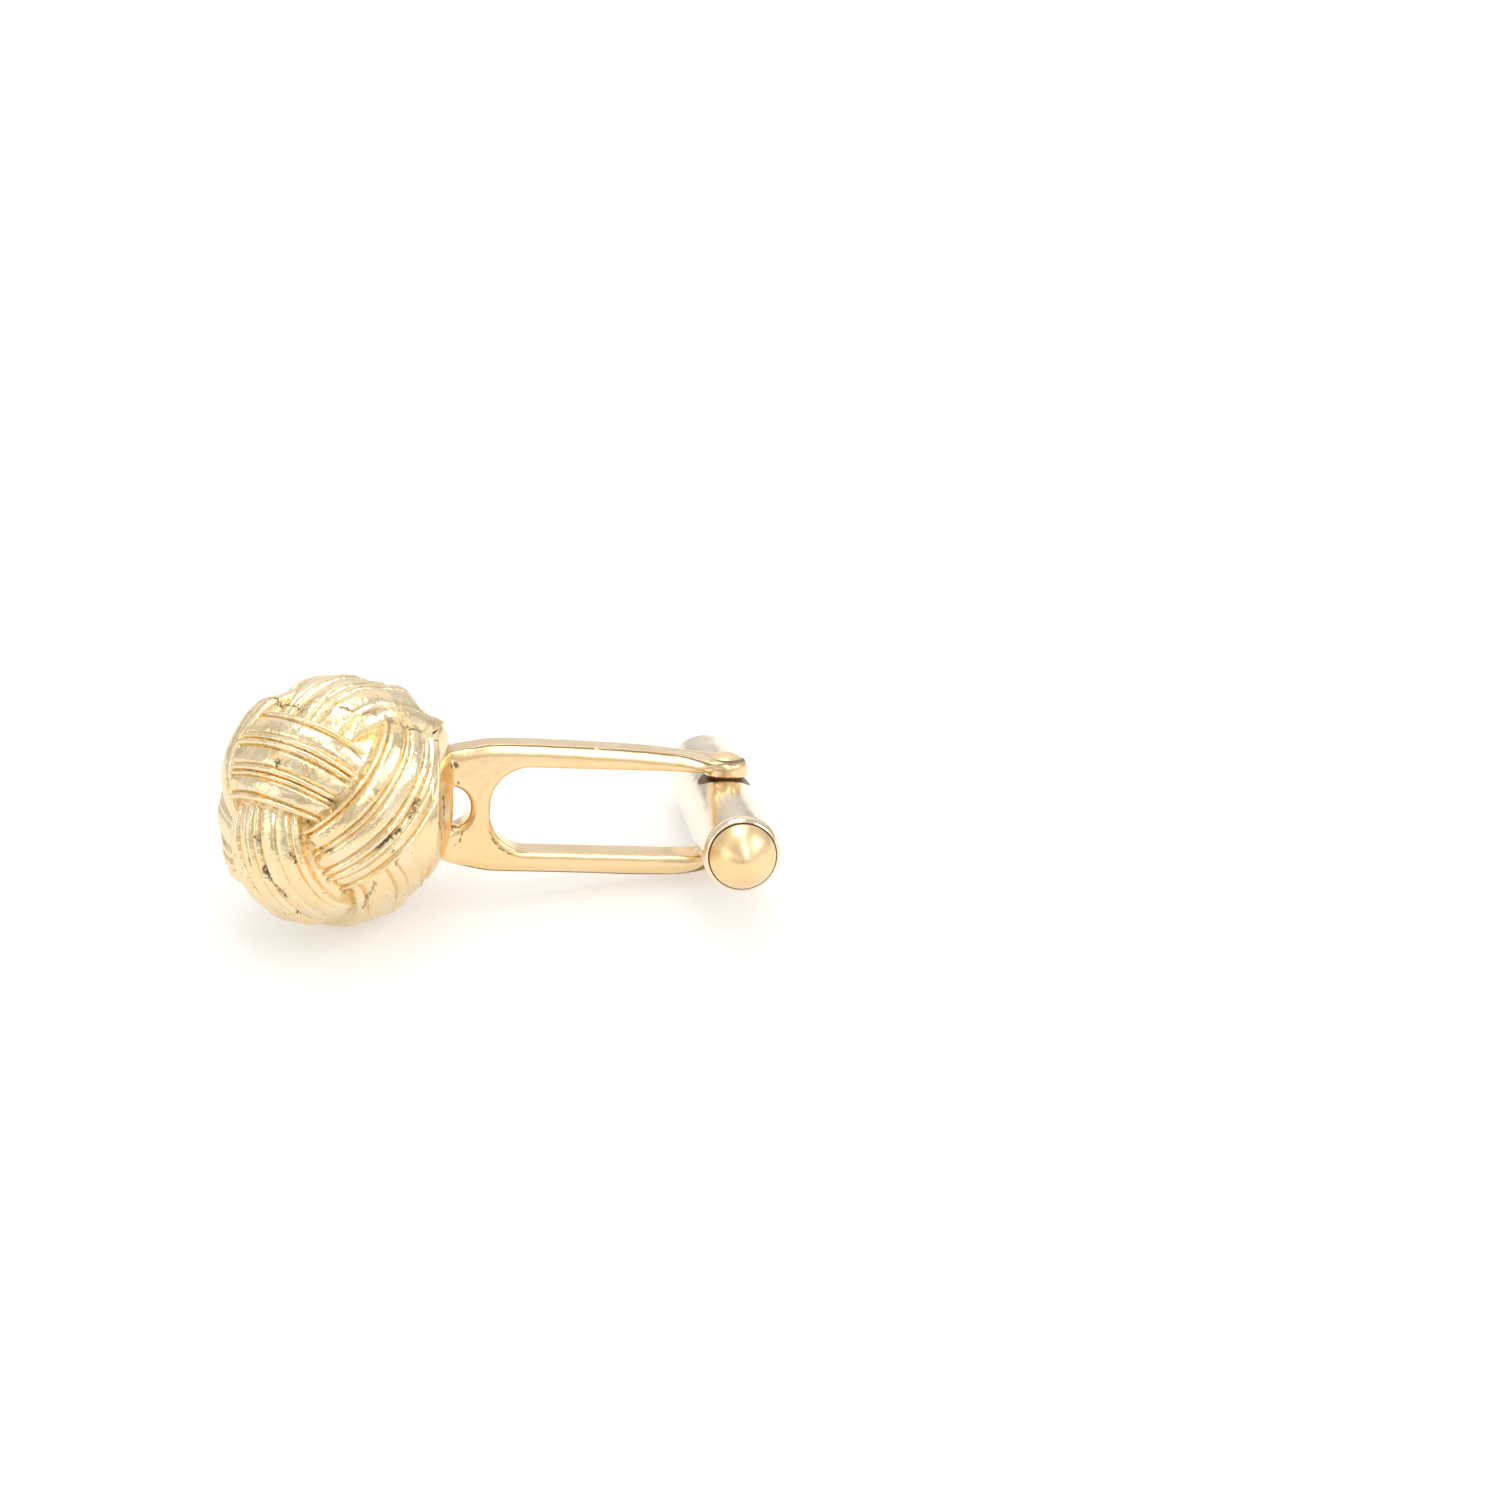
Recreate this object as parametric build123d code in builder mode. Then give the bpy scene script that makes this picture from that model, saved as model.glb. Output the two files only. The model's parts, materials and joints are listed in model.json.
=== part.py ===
from build123d import *
import math
import os

# Knot cufflink: a cast knot of three ribbed bands on a domed back plate, a two-armed fork,
# and a swivel bar that turns on a pin between the fork's ears. Millimetres and degrees.

# Link frame: the origin is where the post's axis meets the pin's axis. Its X runs from the
# knot to the bar, its Y along the bar at rest and its Z along the pin.

# Knot
knot_radius = 6.5
plate_rise = 5.95
band_dive = 0.65
band_edge_drop = 0.18
pit_depth = 0.9
strand_relief = 0.17
band_draft = 1.2
steps_along_band = 18

# Back plate
plate_apex = 14.35
plate_radius = 4.5
plate_curve = 8.6
plate_seat_depth = 2.6
plate_seam = 0.09
plate_seam_depth = 0.3

# Fork
fork_root_height = 5.3
fork_shoulder_height = 6.86
fork_ear_height = 6.2
shoulder_reach = 12.1
shoulder_rounding = 5.0
fork_slot_height = 4.55
slot_end_radius = 2.1
slot_reach = 12.3
root_web = 1.0
root_hole_height = 2.3
root_hole_corner = 0.85
arm_width = 1.9
arm_rounding = 0.28
root_embed = 1.3
root_foot_width = 2.7
root_foot_length = 0.1
root_foot_height = 1.5
root_foot_rounding = 0.6
ear_rounding = 0.15
ear_proud = 0.05
ear_radius = 1.2

# Bar
tube_radius = 2.0
tube_wall = 0.55
tube_length = 17.2
tube_shoulder = 0.5
mouth_radius = 1.78
cap_radius = 1.72
cap_height = 1.42
cap_tip_radius = 0.42
cap_tip_turn = 22.0
cap_side = 0.25
cap_plug_length = 0.9
cap_seam = 0.06
plug_clearance = 0.03
spot_radius = 1.38
spot_depth = 0.25

# Pin
pin_radius = 0.5
pin_head_radius = 0.8
pin_head_height = 0.3
pin_fit = 0.02
pivot_clearance = 0.05

# How far each patch of a band reaches to its sides, in degrees from the middle of its ring.
# Patches 0, 1 and 2 face the three weave axes, and each is paired with the one behind it.
SIDES = {
    # (patch, sign): (towards the third axis, away from it)
    (0, 1): (36.0, 9.0),
    (1, 1): (32.0, 9.0),
    (2, 1): (31.0, 20.0),
    (0, -1): (52.0, 40.0),
    (1, -1): (38.0, 25.0),
    (2, -1): (38.0, 30.0),
}

# Strands of a band from one side to the other: share of the band's width, and height as a
# share of the strand relief.
STRANDS = [
    # (width, height)
    (0.08, 1.0),
    (0.20, 0.9),
    (0.09, 1.1),
    (0.20, 0.8),
    (0.08, 1.0),
    (0.08, 0.8),
    (0.19, 1.0),
    (0.08, 1.1),
]
# Share of a strand's width that its groove takes on each side, and how much of the strand's
# height it has already risen there.
groove_share = 0.16
groove_rise = 0.85

# The weave has three square axes. One corner of it faces nearly forwards, turned about the post
# and then leaned a little about the pin's and the bar's directions.
weave_turn = 67.5
weave_lean = 4.6
weave_nod = -5.5
corner_angle = math.degrees(math.acos(1 / math.sqrt(3)))


def weave_axis(turn):
    """One of the three axes that the bands wind round, as a unit vector of the link frame."""
    side, round_post = math.radians(corner_angle), math.radians(turn)
    axis = Vector(
        -math.cos(side),
        -math.sin(side) * math.cos(round_post),
        math.sin(side) * math.sin(round_post),
    )
    return axis.rotate(Axis.Z, weave_lean).rotate(Axis.Y, weave_nod)


first_axis = weave_axis(weave_turn)
third_axis = weave_axis(weave_turn - 120)
second_axis = weave_axis(weave_turn + 120) * -1
AXES = [first_axis, second_axis, third_axis]
knot_centre = Vector(-plate_apex - plate_rise, 0, 0)
pit_radius = knot_radius - pit_depth


def side_angle(patch, sign, towards):
    """The angle at which a patch ends on the given side."""
    return SIDES[(patch % 3, sign)][0 if towards > 0 else 1]


def foot(patch, sign, towards):
    """Sine of the angle where the wall below that side stands."""
    return math.sin(math.radians(side_angle(patch, sign, towards) + band_draft))


def strand_stations():
    """Places across a band, as shares of its width, each with its height above the grooves."""
    stations = [(0.0, 0.0)]
    start = 0.0
    for width, height in STRANDS:
        lift = strand_relief * height
        stations.append((start + width * groove_share, groove_rise * lift))
        stations.append((start + width / 2, lift))
        stations.append((start + width * (1 - groove_share), groove_rise * lift))
        start += width
        stations.append((start, 0.0))
    return stations


class Mesh:
    """Shared corner points and the triangles between them."""

    def __init__(self):
        self.points = []
        self.triangles = []

    def point(self, direction, radius):
        self.points.append(knot_centre + direction * radius)
        return len(self.points) - 1

    def triangle(self, a, b, c, turned):
        self.triangles.append((a, b, c) if turned else (a, c, b))


def patch_frame(patch, sign):
    """Centre, along and across axes of a patch, left-handed where its sign is minus."""
    return AXES[patch] * sign, AXES[(patch + 1) % 3], AXES[(patch + 2) % 3]


def on_ring(patch, sign, across, along):
    """Direction at an angle across a band and an angle along it from the patch's middle."""
    middle, ahead, beside = patch_frame(patch, sign)
    flat = middle * math.cos(along) + ahead * math.sin(along)
    return flat * math.cos(across) + beside * math.sin(across)


def build_patch(mesh, patch, sign):
    """Grid of corner points over the part of a band that lies on top."""
    high = math.radians(side_angle(patch, sign, 1))
    low = -math.radians(side_angle(patch, sign, -1))
    fore = foot((patch + 1) % 3, 1, sign)
    aft = foot((patch + 1) % 3, -1, sign)
    grid = []
    for step in range(steps_along_band + 1):
        place = 2 * step / steps_along_band - 1
        row = []
        for share, lift in strand_stations():
            across = low + (high - low) * share
            reach = math.acos((fore if place > 0 else aft) / math.cos(across))
            side = abs(2 * share - 1)
            radius = knot_radius - band_dive * abs(place) ** 3 - band_edge_drop * side**4 + lift
            row.append(mesh.point(on_ring(patch, sign, across, place * reach), radius))
        grid.append(row)
    for below, above in zip(grid, grid[1:]):
        for left in range(len(below) - 1):
            a, b = below[left], below[left + 1]
            c, d = above[left + 1], above[left]
            mesh.triangle(a, b, c, sign > 0)
            mesh.triangle(a, c, d, sign > 0)
    return grid


def zip_wall(mesh, upper, lower, place, turned):
    """Triangles between two rows of points that run the same way."""
    i, j = 0, 0
    while i < len(upper) - 1 or j < len(lower) - 1:
        more_upper = i < len(upper) - 1
        if more_upper and j < len(lower) - 1:
            more_upper = place(upper[i + 1]) <= place(lower[j + 1])
        if more_upper:
            mesh.triangle(upper[i], upper[i + 1], lower[j], turned)
            i += 1
        else:
            mesh.triangle(upper[i], lower[j + 1], lower[j], turned)
            j += 1


def build_pit(mesh, signs):
    """Three-cornered floor where three bands meet, with its corners keyed by their walls."""
    feet = [foot(k, signs[k], signs[(k + 2) % 3]) for k in range(3)]
    corners = {}
    for k in range(3):
        # The foot of patch k's wall towards axis k + 2 and of patch k + 1's towards axis k.
        third, first = feet[k], feet[(k + 1) % 3]
        second = math.sqrt(1 - third**2 - first**2)
        spot = AXES[(k + 2) % 3] * (signs[(k + 2) % 3] * third)
        spot += AXES[k] * (signs[k] * first)
        spot += AXES[(k + 1) % 3] * (signs[(k + 1) % 3] * second)
        corners[k] = mesh.point(spot, pit_radius)
    mesh.triangle(corners[0], corners[1], corners[2], signs[0] * signs[1] * signs[2] < 0)
    return corners


def knot_mesh():
    """The whole woven ball as one closed surface of triangles."""
    mesh = Mesh()
    both = (1, -1)
    grids = {(k, s): build_patch(mesh, k, s) for k in range(3) for s in both}
    pits = {(a, b, c): build_pit(mesh, (a, b, c)) for a in both for b in both for c in both}
    for (k, sign), grid in grids.items():
        middle, ahead, beside = patch_frame(k, sign)

        def place(index):
            offset = mesh.points[index] - knot_centre
            return math.atan2(offset.dot(ahead), offset.dot(middle))

        for towards in both:
            upper = [row[-1 if towards > 0 else 0] for row in grid]
            pit_corners = []
            for end in (-1, 1):
                signs = [0, 0, 0]
                signs[k], signs[(k + 1) % 3], signs[(k + 2) % 3] = sign, end, towards
                pit = pits[tuple(signs)]
                pit_corners.append((pit[k], pit[(k + 2) % 3]))
            start, finish = pit_corners
            neighbour = grids[((k + 2) % 3, towards)]
            tucked_row = sorted(neighbour[-1 if sign > 0 else 0], key=place)
            lower = [*start, *tucked_row, *reversed(finish)]
            zip_wall(mesh, upper, lower, place, sign * towards < 0)
    return mesh


knot = knot_mesh()

# Rest on a flat surface: the knot, the lower ear or pin head and the bar's back end touch it.
half_bar = tube_length / 2 + cap_seam + cap_height
ear_face = fork_ear_height / 2
pin_reach = ear_face + pin_fit + pin_head_height
# Domed heads and tips touch at this share of their radius when the link leans.
touch_share = 1 / 3
ring_step = 5
settling_steps = 60


def ring(axis, offset, radius):
    """Points round a circle about the link's Y or Z axis, as seen from its origin."""
    turns = [math.radians(angle) for angle in range(0, 360, ring_step)]
    across = [(radius * math.cos(turn), radius * math.sin(turn)) for turn in turns]
    if axis == "Y":
        return [Vector(a, offset, b) for a, b in across]
    return [Vector(a, b, offset) for a, b in across]


def lowest(points, slope, roll):
    """Height of the lowest point once the link is rolled about its post and sloped down."""
    rise = math.cos(slope)
    return min(
        -p.X * math.sin(slope) + (p.Y * math.sin(roll) + p.Z * math.cos(roll)) * rise
        for p in points
    )


ear_outline = ring("Z", -ear_face, ear_radius) + ring("Z", ear_face, ear_radius)
ear_outline += ring("Z", -pin_reach, touch_share * pin_head_radius)
bar_outline = []
for end in (-1, 1):
    bar_outline += ring("Y", end * (tube_length / 2 - tube_shoulder), tube_radius)
    bar_outline += ring("Y", end * tube_length / 2, mouth_radius)
    bar_outline += ring("Y", end * half_bar, touch_share * cap_tip_radius)
slope, roll = 0.0, 0.0
for attempt in range(settling_steps):
    knot_low = lowest(knot.points, slope, roll)
    ear_low = lowest(ear_outline, slope, roll)
    slope += (ear_low - knot_low) / abs(knot_centre.X)
    roll -= (lowest(bar_outline, slope, roll) - ear_low) / half_bar

# World plane of the link, with the whole cufflink standing on height 0 about the origin.
x_dir = Vector(math.cos(slope), 0, -math.sin(slope))
z_dir = Vector(
    math.cos(roll) * math.sin(slope), -math.sin(roll), math.cos(roll) * math.cos(slope)
)
leaning = Plane(origin=(0, 0, 0), x_dir=x_dir, z_dir=z_dir)
outline = [leaning.from_local_coords(p) for p in knot.points + ear_outline + bar_outline]
middle_x = (min(p.X for p in outline) + max(p.X for p in outline)) / 2
middle_y = (min(p.Y for p in outline) + max(p.Y for p in outline)) / 2
floor = min(p.Z for p in outline)
link = Plane(origin=(-middle_x, -middle_y, -floor), x_dir=x_dir, z_dir=z_dir)
post_axis = Axis(link.origin, link.x_dir)
bar_axis = Axis(link.origin, link.y_dir)
pin_axis = Axis(link.origin, link.z_dir)
# The post and the pin lie in this plane, and seen in it the post runs to the right.
side_plane = Plane(origin=link.origin, x_dir=link.x_dir, z_dir=-link.y_dir)


def across_post(distance):
    """Plane square to the post, at a distance from the pin's axis."""
    return Plane(link.from_local_coords(Vector(distance, 0, 0)), link.y_dir, link.x_dir)


# Woven ball, with a round seat for the back plate
corners = [link.from_local_coords(p) for p in knot.points]
facets = [Face(Wire.make_polygon([corners[i] for i in triangle])) for triangle in knot.triangles]
woven_ball = Solid(Shell(facets))
seat_floor = plate_apex + plate_seat_depth
with BuildPart() as seated_ball:
    add(woven_ball)
    with BuildSketch(across_post(-seat_floor)):
        Circle(plate_radius)
    extrude(amount=seat_floor, mode=Mode.SUBTRACT)

# Fork: two rounded arms with a long slot, cut out from the side, then its ears and root foot
root_end = plate_apex + root_embed
with BuildPart() as fork:
    with BuildSketch(side_plane) as side:
        with BuildLine():
            upper_edge = Polyline(
                (-root_end, 0),
                (-root_end, fork_root_height / 2),
                (-shoulder_reach, fork_shoulder_height / 2),
                (-ear_radius, ear_face - ear_proud),
                (0, ear_face - ear_proud),
                (0, 0),
            )
            mirror(upper_edge, about=Plane.XZ)
        make_face()
        shoulders = side.vertices().group_by(Axis.Y)
        fillet(shoulders[0] + shoulders[-1], shoulder_rounding)
        with BuildSketch(mode=Mode.SUBTRACT):
            with Locations((-slot_reach / 2, 0)):
                slot = Rectangle(slot_reach, fork_slot_height)
            fillet(slot.vertices().group_by(Axis.X)[0], slot_end_radius)
        with BuildSketch(mode=Mode.SUBTRACT):
            hole_length = root_end - slot_reach - root_web
            with Locations((-root_end + hole_length / 2, 0)):
                hole = Rectangle(hole_length, root_hole_height)
            fillet(hole.vertices().group_by(Axis.X)[-1], root_hole_corner)
    extrude(amount=arm_width / 2, both=True)
    flanks = fork.faces().group_by(bar_axis)
    fillet(flanks[0].edges() + flanks[-1].edges(), arm_rounding)
    with BuildSketch(side_plane):
        with Locations((ear_radius / 2, (ear_face + fork_slot_height / 2) / 2)):
            ear = Rectangle(ear_radius, ear_face - fork_slot_height / 2)
        fillet(ear.vertices().group_by(Axis.X)[-1], ear_rounding)
        mirror(about=Plane.XZ)
    revolve(axis=pin_axis)
    with BuildSketch(across_post(-root_end)):
        with Locations((0, (fork_root_height - root_foot_height) / 2)):
            feet = RectangleRounded(root_foot_width, root_foot_height, root_foot_rounding)
        mirror(about=Plane.XZ)
    extrude(amount=root_embed + root_foot_length)
    with BuildSketch(link):
        Circle(pin_radius + pin_fit)
    extrude(amount=fork_root_height, both=True, mode=Mode.SUBTRACT)

# Back plate: a low dome that fills the seat but for a fine seam round its edge
dome_centre = -plate_apex - plate_curve
with BuildPart() as back_plate:
    with BuildSketch(link):
        with BuildLine():
            rim = plate_radius - plate_seam
            rim_place = dome_centre + math.sqrt(plate_curve**2 - rim**2)
            edge = Polyline(
                (-plate_apex, 0),
                (-seat_floor, 0),
                (-seat_floor, plate_radius),
                (rim_place - plate_seam_depth, plate_radius),
                (rim_place - plate_seam_depth, rim),
                (rim_place, rim),
            )
            RadiusArc(edge @ 1, edge @ 0, plate_curve)
        make_face()
    revolve(axis=post_axis)

with BuildPart() as knot_head_and_fork:
    add(seated_ball.part)
    add(back_plate.part)
    add(fork.part)


def dome_point(end):
    """Halfway point of a pin head's rounded top, seen in the side plane."""
    cap_curve = (pin_head_radius**2 + pin_head_height**2) / (2 * pin_head_height)
    half_turn = math.asin(pin_head_radius / cap_curve) / 2
    return (
        cap_curve * math.sin(half_turn),
        end * (pin_reach - cap_curve * (1 - math.cos(half_turn))),
    )


# Pivot pin, headed over both ears
with BuildPart() as pivot_pin:
    with BuildSketch(side_plane):
        with BuildLine():
            head_base = ear_face + pin_fit
            middle = Line((0, pin_reach), (0, -pin_reach))
            foot_dome = ThreePointArc(middle @ 1, dome_point(-1), (pin_head_radius, -head_base))
            neck = Polyline(
                foot_dome @ 1,
                (pin_radius, -head_base),
                (pin_radius, head_base),
                (pin_head_radius, head_base),
            )
            ThreePointArc(neck @ 1, dome_point(1), (0, pin_reach))
        make_face()
    revolve(axis=pin_axis)

# Bar tube, drilled for the pin and sunk flat under each ear
bore_radius = tube_radius - tube_wall
tube_end = tube_length / 2
with BuildPart() as bar_tube:
    with BuildSketch(link):
        with BuildLine():
            bore = Line((bore_radius, 0), (bore_radius, tube_end))
            mouth = Line(bore @ 1, (mouth_radius, tube_end))
            outside = Line((tube_radius, tube_end - tube_shoulder), (tube_radius, 0))
            TangentArc(outside @ 0, mouth @ 1, tangent=(0, 1))
            Line(outside @ 1, bore @ 0)
        make_face()
        mirror(about=Plane.XZ)
    revolve(axis=bar_axis)
    with BuildSketch(link.offset(tube_radius - spot_depth)):
        Circle(spot_radius)
    extrude(amount=tube_radius, mode=Mode.SUBTRACT)
    with BuildSketch(link.offset(spot_depth - tube_radius)):
        Circle(spot_radius)
    extrude(amount=-tube_radius, mode=Mode.SUBTRACT)
    with BuildSketch(link):
        Circle(pin_radius + pivot_clearance)
    extrude(amount=2 * tube_radius, both=True, mode=Mode.SUBTRACT)


def end_cap(end):
    """Bullet-shaped cap with a plug for the tube's mouth, at one end of the bar."""
    cap_plane = Plane(origin=link.origin, x_dir=link.x_dir, z_dir=link.z_dir * end)
    base = tube_end + cap_seam
    plug_radius = bore_radius - plug_clearance
    # The rounded tip runs out into the cone's bulging side at this point.
    tip_turn = math.radians(cap_tip_turn)
    tip_edge = (
        cap_tip_radius * math.sin(tip_turn),
        half_bar - cap_tip_radius * (1 - math.cos(tip_turn)),
    )
    with BuildPart() as cap:
        with BuildSketch(cap_plane):
            with BuildLine():
                inside = Polyline(
                    (0, half_bar),
                    (0, tube_end - cap_plug_length),
                    (plug_radius, tube_end - cap_plug_length),
                    (plug_radius, base),
                    (cap_radius, base),
                    (cap_radius, base + cap_side),
                )
                tip = TangentArc(inside @ 0, tip_edge, tangent=(1, 0))
                TangentArc(tip @ 1, inside @ 1, tangent=tip % 1)
            make_face()
        revolve(axis=bar_axis)
    return cap.part


os.makedirs("parts", exist_ok=True)
end_caps = {"end_cap_front": end_cap(-1), "end_cap_back": end_cap(1)}
knot_head_and_fork.part.label = "knot_head_and_fork"
export_step(knot_head_and_fork.part, "parts/knot_head_and_fork.step")
pivot_pin.part.label = "pivot_pin"
export_step(pivot_pin.part, "parts/pivot_pin.step")
bar_tube.part.label = "bar_tube"
export_step(bar_tube.part, "parts/bar_tube.step")
for name, cap in end_caps.items():
    cap.label = name
    export_step(cap, f"parts/{name}.step")
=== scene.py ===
import json
import math

import bpy
from bpy.props import FloatProperty, FloatVectorProperty, IntProperty, PointerProperty
from mathutils import Matrix, Vector, noise


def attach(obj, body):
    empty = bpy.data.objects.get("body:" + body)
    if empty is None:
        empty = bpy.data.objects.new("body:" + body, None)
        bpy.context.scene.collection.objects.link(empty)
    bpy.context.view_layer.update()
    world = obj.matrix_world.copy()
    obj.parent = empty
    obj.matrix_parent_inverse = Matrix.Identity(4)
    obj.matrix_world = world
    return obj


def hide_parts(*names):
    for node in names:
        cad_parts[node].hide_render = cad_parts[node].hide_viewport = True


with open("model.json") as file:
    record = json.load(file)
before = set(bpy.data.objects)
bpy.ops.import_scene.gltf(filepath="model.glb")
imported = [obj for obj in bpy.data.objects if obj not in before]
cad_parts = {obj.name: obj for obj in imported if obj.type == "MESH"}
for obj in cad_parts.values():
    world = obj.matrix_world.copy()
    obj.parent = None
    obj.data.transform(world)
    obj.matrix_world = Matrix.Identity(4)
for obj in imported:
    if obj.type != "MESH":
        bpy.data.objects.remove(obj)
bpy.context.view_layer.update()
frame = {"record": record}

bl_info = {
    "name": "Knot cufflink",
    "version": (1, 0, 0),
    "blender": (4, 5, 0),
    "location": "View3D > Sidebar > Cufflink",
    "description": "Dresses the packed cufflink: woven bands, dome, fork, pin, bar and their gold",
    "category": "Object",
}

MM = 0.001

# Link frame: its origin is where the post meets the pin, X runs from the knot to the bar,
# Y along the bar and Z along the pin. Pieces are modelled in it and then put in the row frame.
TOGGLE = frame["record"]["behaviour"]["joints"][0]
PIN_DIR = Vector(TOGGLE["axis"]).normalized()
POST_DIR = Vector((0, 1, 0)).cross(PIN_DIR).normalized()
BAR_DIR = PIN_DIR.cross(POST_DIR)
LINK_TURN = Matrix((POST_DIR, BAR_DIR, PIN_DIR)).transposed()
LINK = Matrix.Translation(TOGGLE["pos_m"]) @ LINK_TURN.to_4x4()

# The three weave axes, from the corner of the weave that faces nearly forwards.
CORNER_ANGLE = math.acos(1 / math.sqrt(3))
WEAVE_TURN = 67.5
WEAVE_LEAN = 4.6
WEAVE_NOD = -5.5


def weave_axis(turn):
    """One of the three axes that the bands wind round, as a unit vector of the link frame."""
    round_post = math.radians(turn)
    axis = Vector((
        -math.cos(CORNER_ANGLE),
        -math.sin(CORNER_ANGLE) * math.cos(round_post),
        math.sin(CORNER_ANGLE) * math.sin(round_post),
    ))
    lean = Matrix.Rotation(math.radians(WEAVE_LEAN), 3, "Z")
    nod = Matrix.Rotation(math.radians(WEAVE_NOD), 3, "Y")
    return nod @ lean @ axis


AXES = [weave_axis(WEAVE_TURN), -weave_axis(WEAVE_TURN + 120), weave_axis(WEAVE_TURN - 120)]

# How far each patch of a band reaches to its sides, in degrees from the middle of its ring.
SIDES = {
    # (patch, sign): (towards the third axis, away from it)
    (0, 1): (36.0, 9.0),
    (1, 1): (32.0, 9.0),
    (2, 1): (31.0, 20.0),
    (0, -1): (52.0, 40.0),
    (1, -1): (38.0, 25.0),
    (2, -1): (38.0, 30.0),
}

# Strands of each patch from its far side to the side towards the third axis.
STRANDS = {
    # (patch, sign): [(share of the width, share of the full height), ...]
    (0, 1): [
        (0.07, 1.0), (0.21, 0.9), (0.07, 0.9), (0.07, 1.2), (0.20, 0.8),
        (0.07, 0.9), (0.05, 0.8), (0.18, 0.9), (0.08, 1.3),
    ],
    (1, 1): [
        (0.09, 1.2), (0.14, 0.8), (0.10, 1.1), (0.10, 1.0), (0.21, 1.1),
        (0.06, 0.7), (0.22, 1.0), (0.08, 1.4),
    ],
    (2, 1): [
        (0.08, 1.1), (0.10, 1.0), (0.09, 1.2), (0.13, 0.9), (0.09, 1.2),
        (0.08, 1.0), (0.17, 0.8), (0.17, 1.0), (0.09, 1.5),
    ],
    (0, -1): [
        (0.10, 1.0), (0.26, 0.6), (0.33, 0.7), (0.08, 1.0), (0.16, 0.8), (0.07, 1.2),
    ],
    (1, -1): [
        (0.08, 1.1), (0.19, 0.9), (0.08, 1.0), (0.18, 0.9), (0.09, 1.1),
        (0.09, 0.9), (0.20, 0.9), (0.09, 1.2),
    ],
    (2, -1): [
        (0.08, 1.1), (0.17, 0.9), (0.08, 1.0), (0.15, 0.9), (0.08, 1.1),
        (0.14, 0.9), (0.08, 0.8), (0.22, 1.5),
    ],
}


# Sizes and colours that a user would change.


def length(name, description, millimetres):
    """A length that a user can change, given in millimetres."""
    size = millimetres * MM
    return FloatProperty(name=name, description=description, default=size, unit="LENGTH")


class CufflinkKnotSizes(bpy.types.PropertyGroup):
    """Sizes of the woven ball and the dome behind it."""

    radius: length("Knot radius", "Radius of the ball over its bands", 6.5)
    rise: length("Plate rise", "From the ball's centre to the dome's top", 5.95)
    dive: length("Band dive", "How far a band's ends sink below its middle", 0.72)
    edge_drop: length("Edge drop", "How far a band's sides lie below its middle line", 0.18)
    relief: length("Strand relief", "Height of a wide strand above its grooves", 0.2)
    rim_relief: length("Rim relief", "Height of a narrow strand above its grooves", 0.24)
    groove_share: FloatProperty(
        name="Groove share", description="Share of a strand's width that its grooves take",
        default=0.12,
    )
    core: length("Core radius", "Radius of the dark ball inside the weave", 5.5)
    unevenness: length("Unevenness", "How far the casting strays from its true form", 0.035)
    wander: FloatProperty(
        name="Strand wander", description="How far a strand strays sideways",
        default=math.radians(0.55), unit="ROTATION",
    )
    plate_apex: length("Plate apex", "From the pin's axis to the dome's top", 14.35)
    plate_radius: length("Plate radius", "Radius of the dome's rim", 4.25)


class CufflinkForkSizes(bpy.types.PropertyGroup):
    """Sizes of the fork between the knot and the bar."""

    root_height: length("Root height", "Height of the fork where it enters the dome", 5.3)
    ear_height: length("Ear height", "Height over both ears", 5.8)
    slot_height: length("Slot height", "Height of the slot between the arms", 4.55)
    slot_reach: length("Slot reach", "From the pin's axis to the slot's end", 12.3)
    slot_end_radius: length("Slot end radius", "Radius of the slot's corners", 2.1)
    hole_height: length("Root hole height", "Height of the small hole at the root", 2.3)
    hole_corner: length("Root hole corner", "Radius of the small hole's corners", 1.1)
    web: length("Root web", "Metal between the slot and the root hole", 1.0)
    width: length("Arm width", "Width of the arms", 1.9)
    ear_radius: length("Ear radius", "Radius of the round ears", 1.2)
    grain: length("Finish step", "Size of the steps in which the fork is smoothed", 0.06)


class CufflinkBarSizes(bpy.types.PropertyGroup):
    """Sizes of the swivel bar and its pin."""

    radius: length("Tube radius", "Radius of the bar's tube", 2.0)
    bore: length("Bore radius", "Radius inside the tube", 1.45)
    length: length("Tube length", "Length of the tube without its caps", 17.2)
    shoulder: length("Tube shoulder", "Length of the rounding at each mouth", 0.5)
    mouth_radius: length("Mouth radius", "Radius of the tube at its mouths", 1.77)
    cap_radius: length("Cap radius", "Radius of the caps at their base", 1.7)
    cap_height: length("Cap height", "Height of a cap over its seam", 1.42)
    cap_tip: length("Cap tip", "Radius of a cap's rounded tip", 0.8)
    cap_seam: length("Cap seam", "Width of the seam between a cap and the tube", 0.06)
    spot_radius: length("Spot face radius", "Radius of the flat under each ear", 1.38)
    spot_depth: length("Spot face depth", "Depth of the flat under each ear", 0.25)
    pin_radius: length("Pin radius", "Radius of the pin's shank", 0.5)
    pin_head_radius: length("Pin head radius", "Radius of the pin's heads", 0.8)
    pin_head_height: length("Pin head height", "Height of the pin's heads", 0.26)
    turns: IntProperty(
        name="Steps round", description="Faces round the turned pieces", default=128,
    )


def colour(name, description, red, green, blue):
    return FloatVectorProperty(
        name=name, description=description, default=(red, green, blue), subtype="COLOR",
        min=0.0, max=1.0, size=3,
    )


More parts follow.
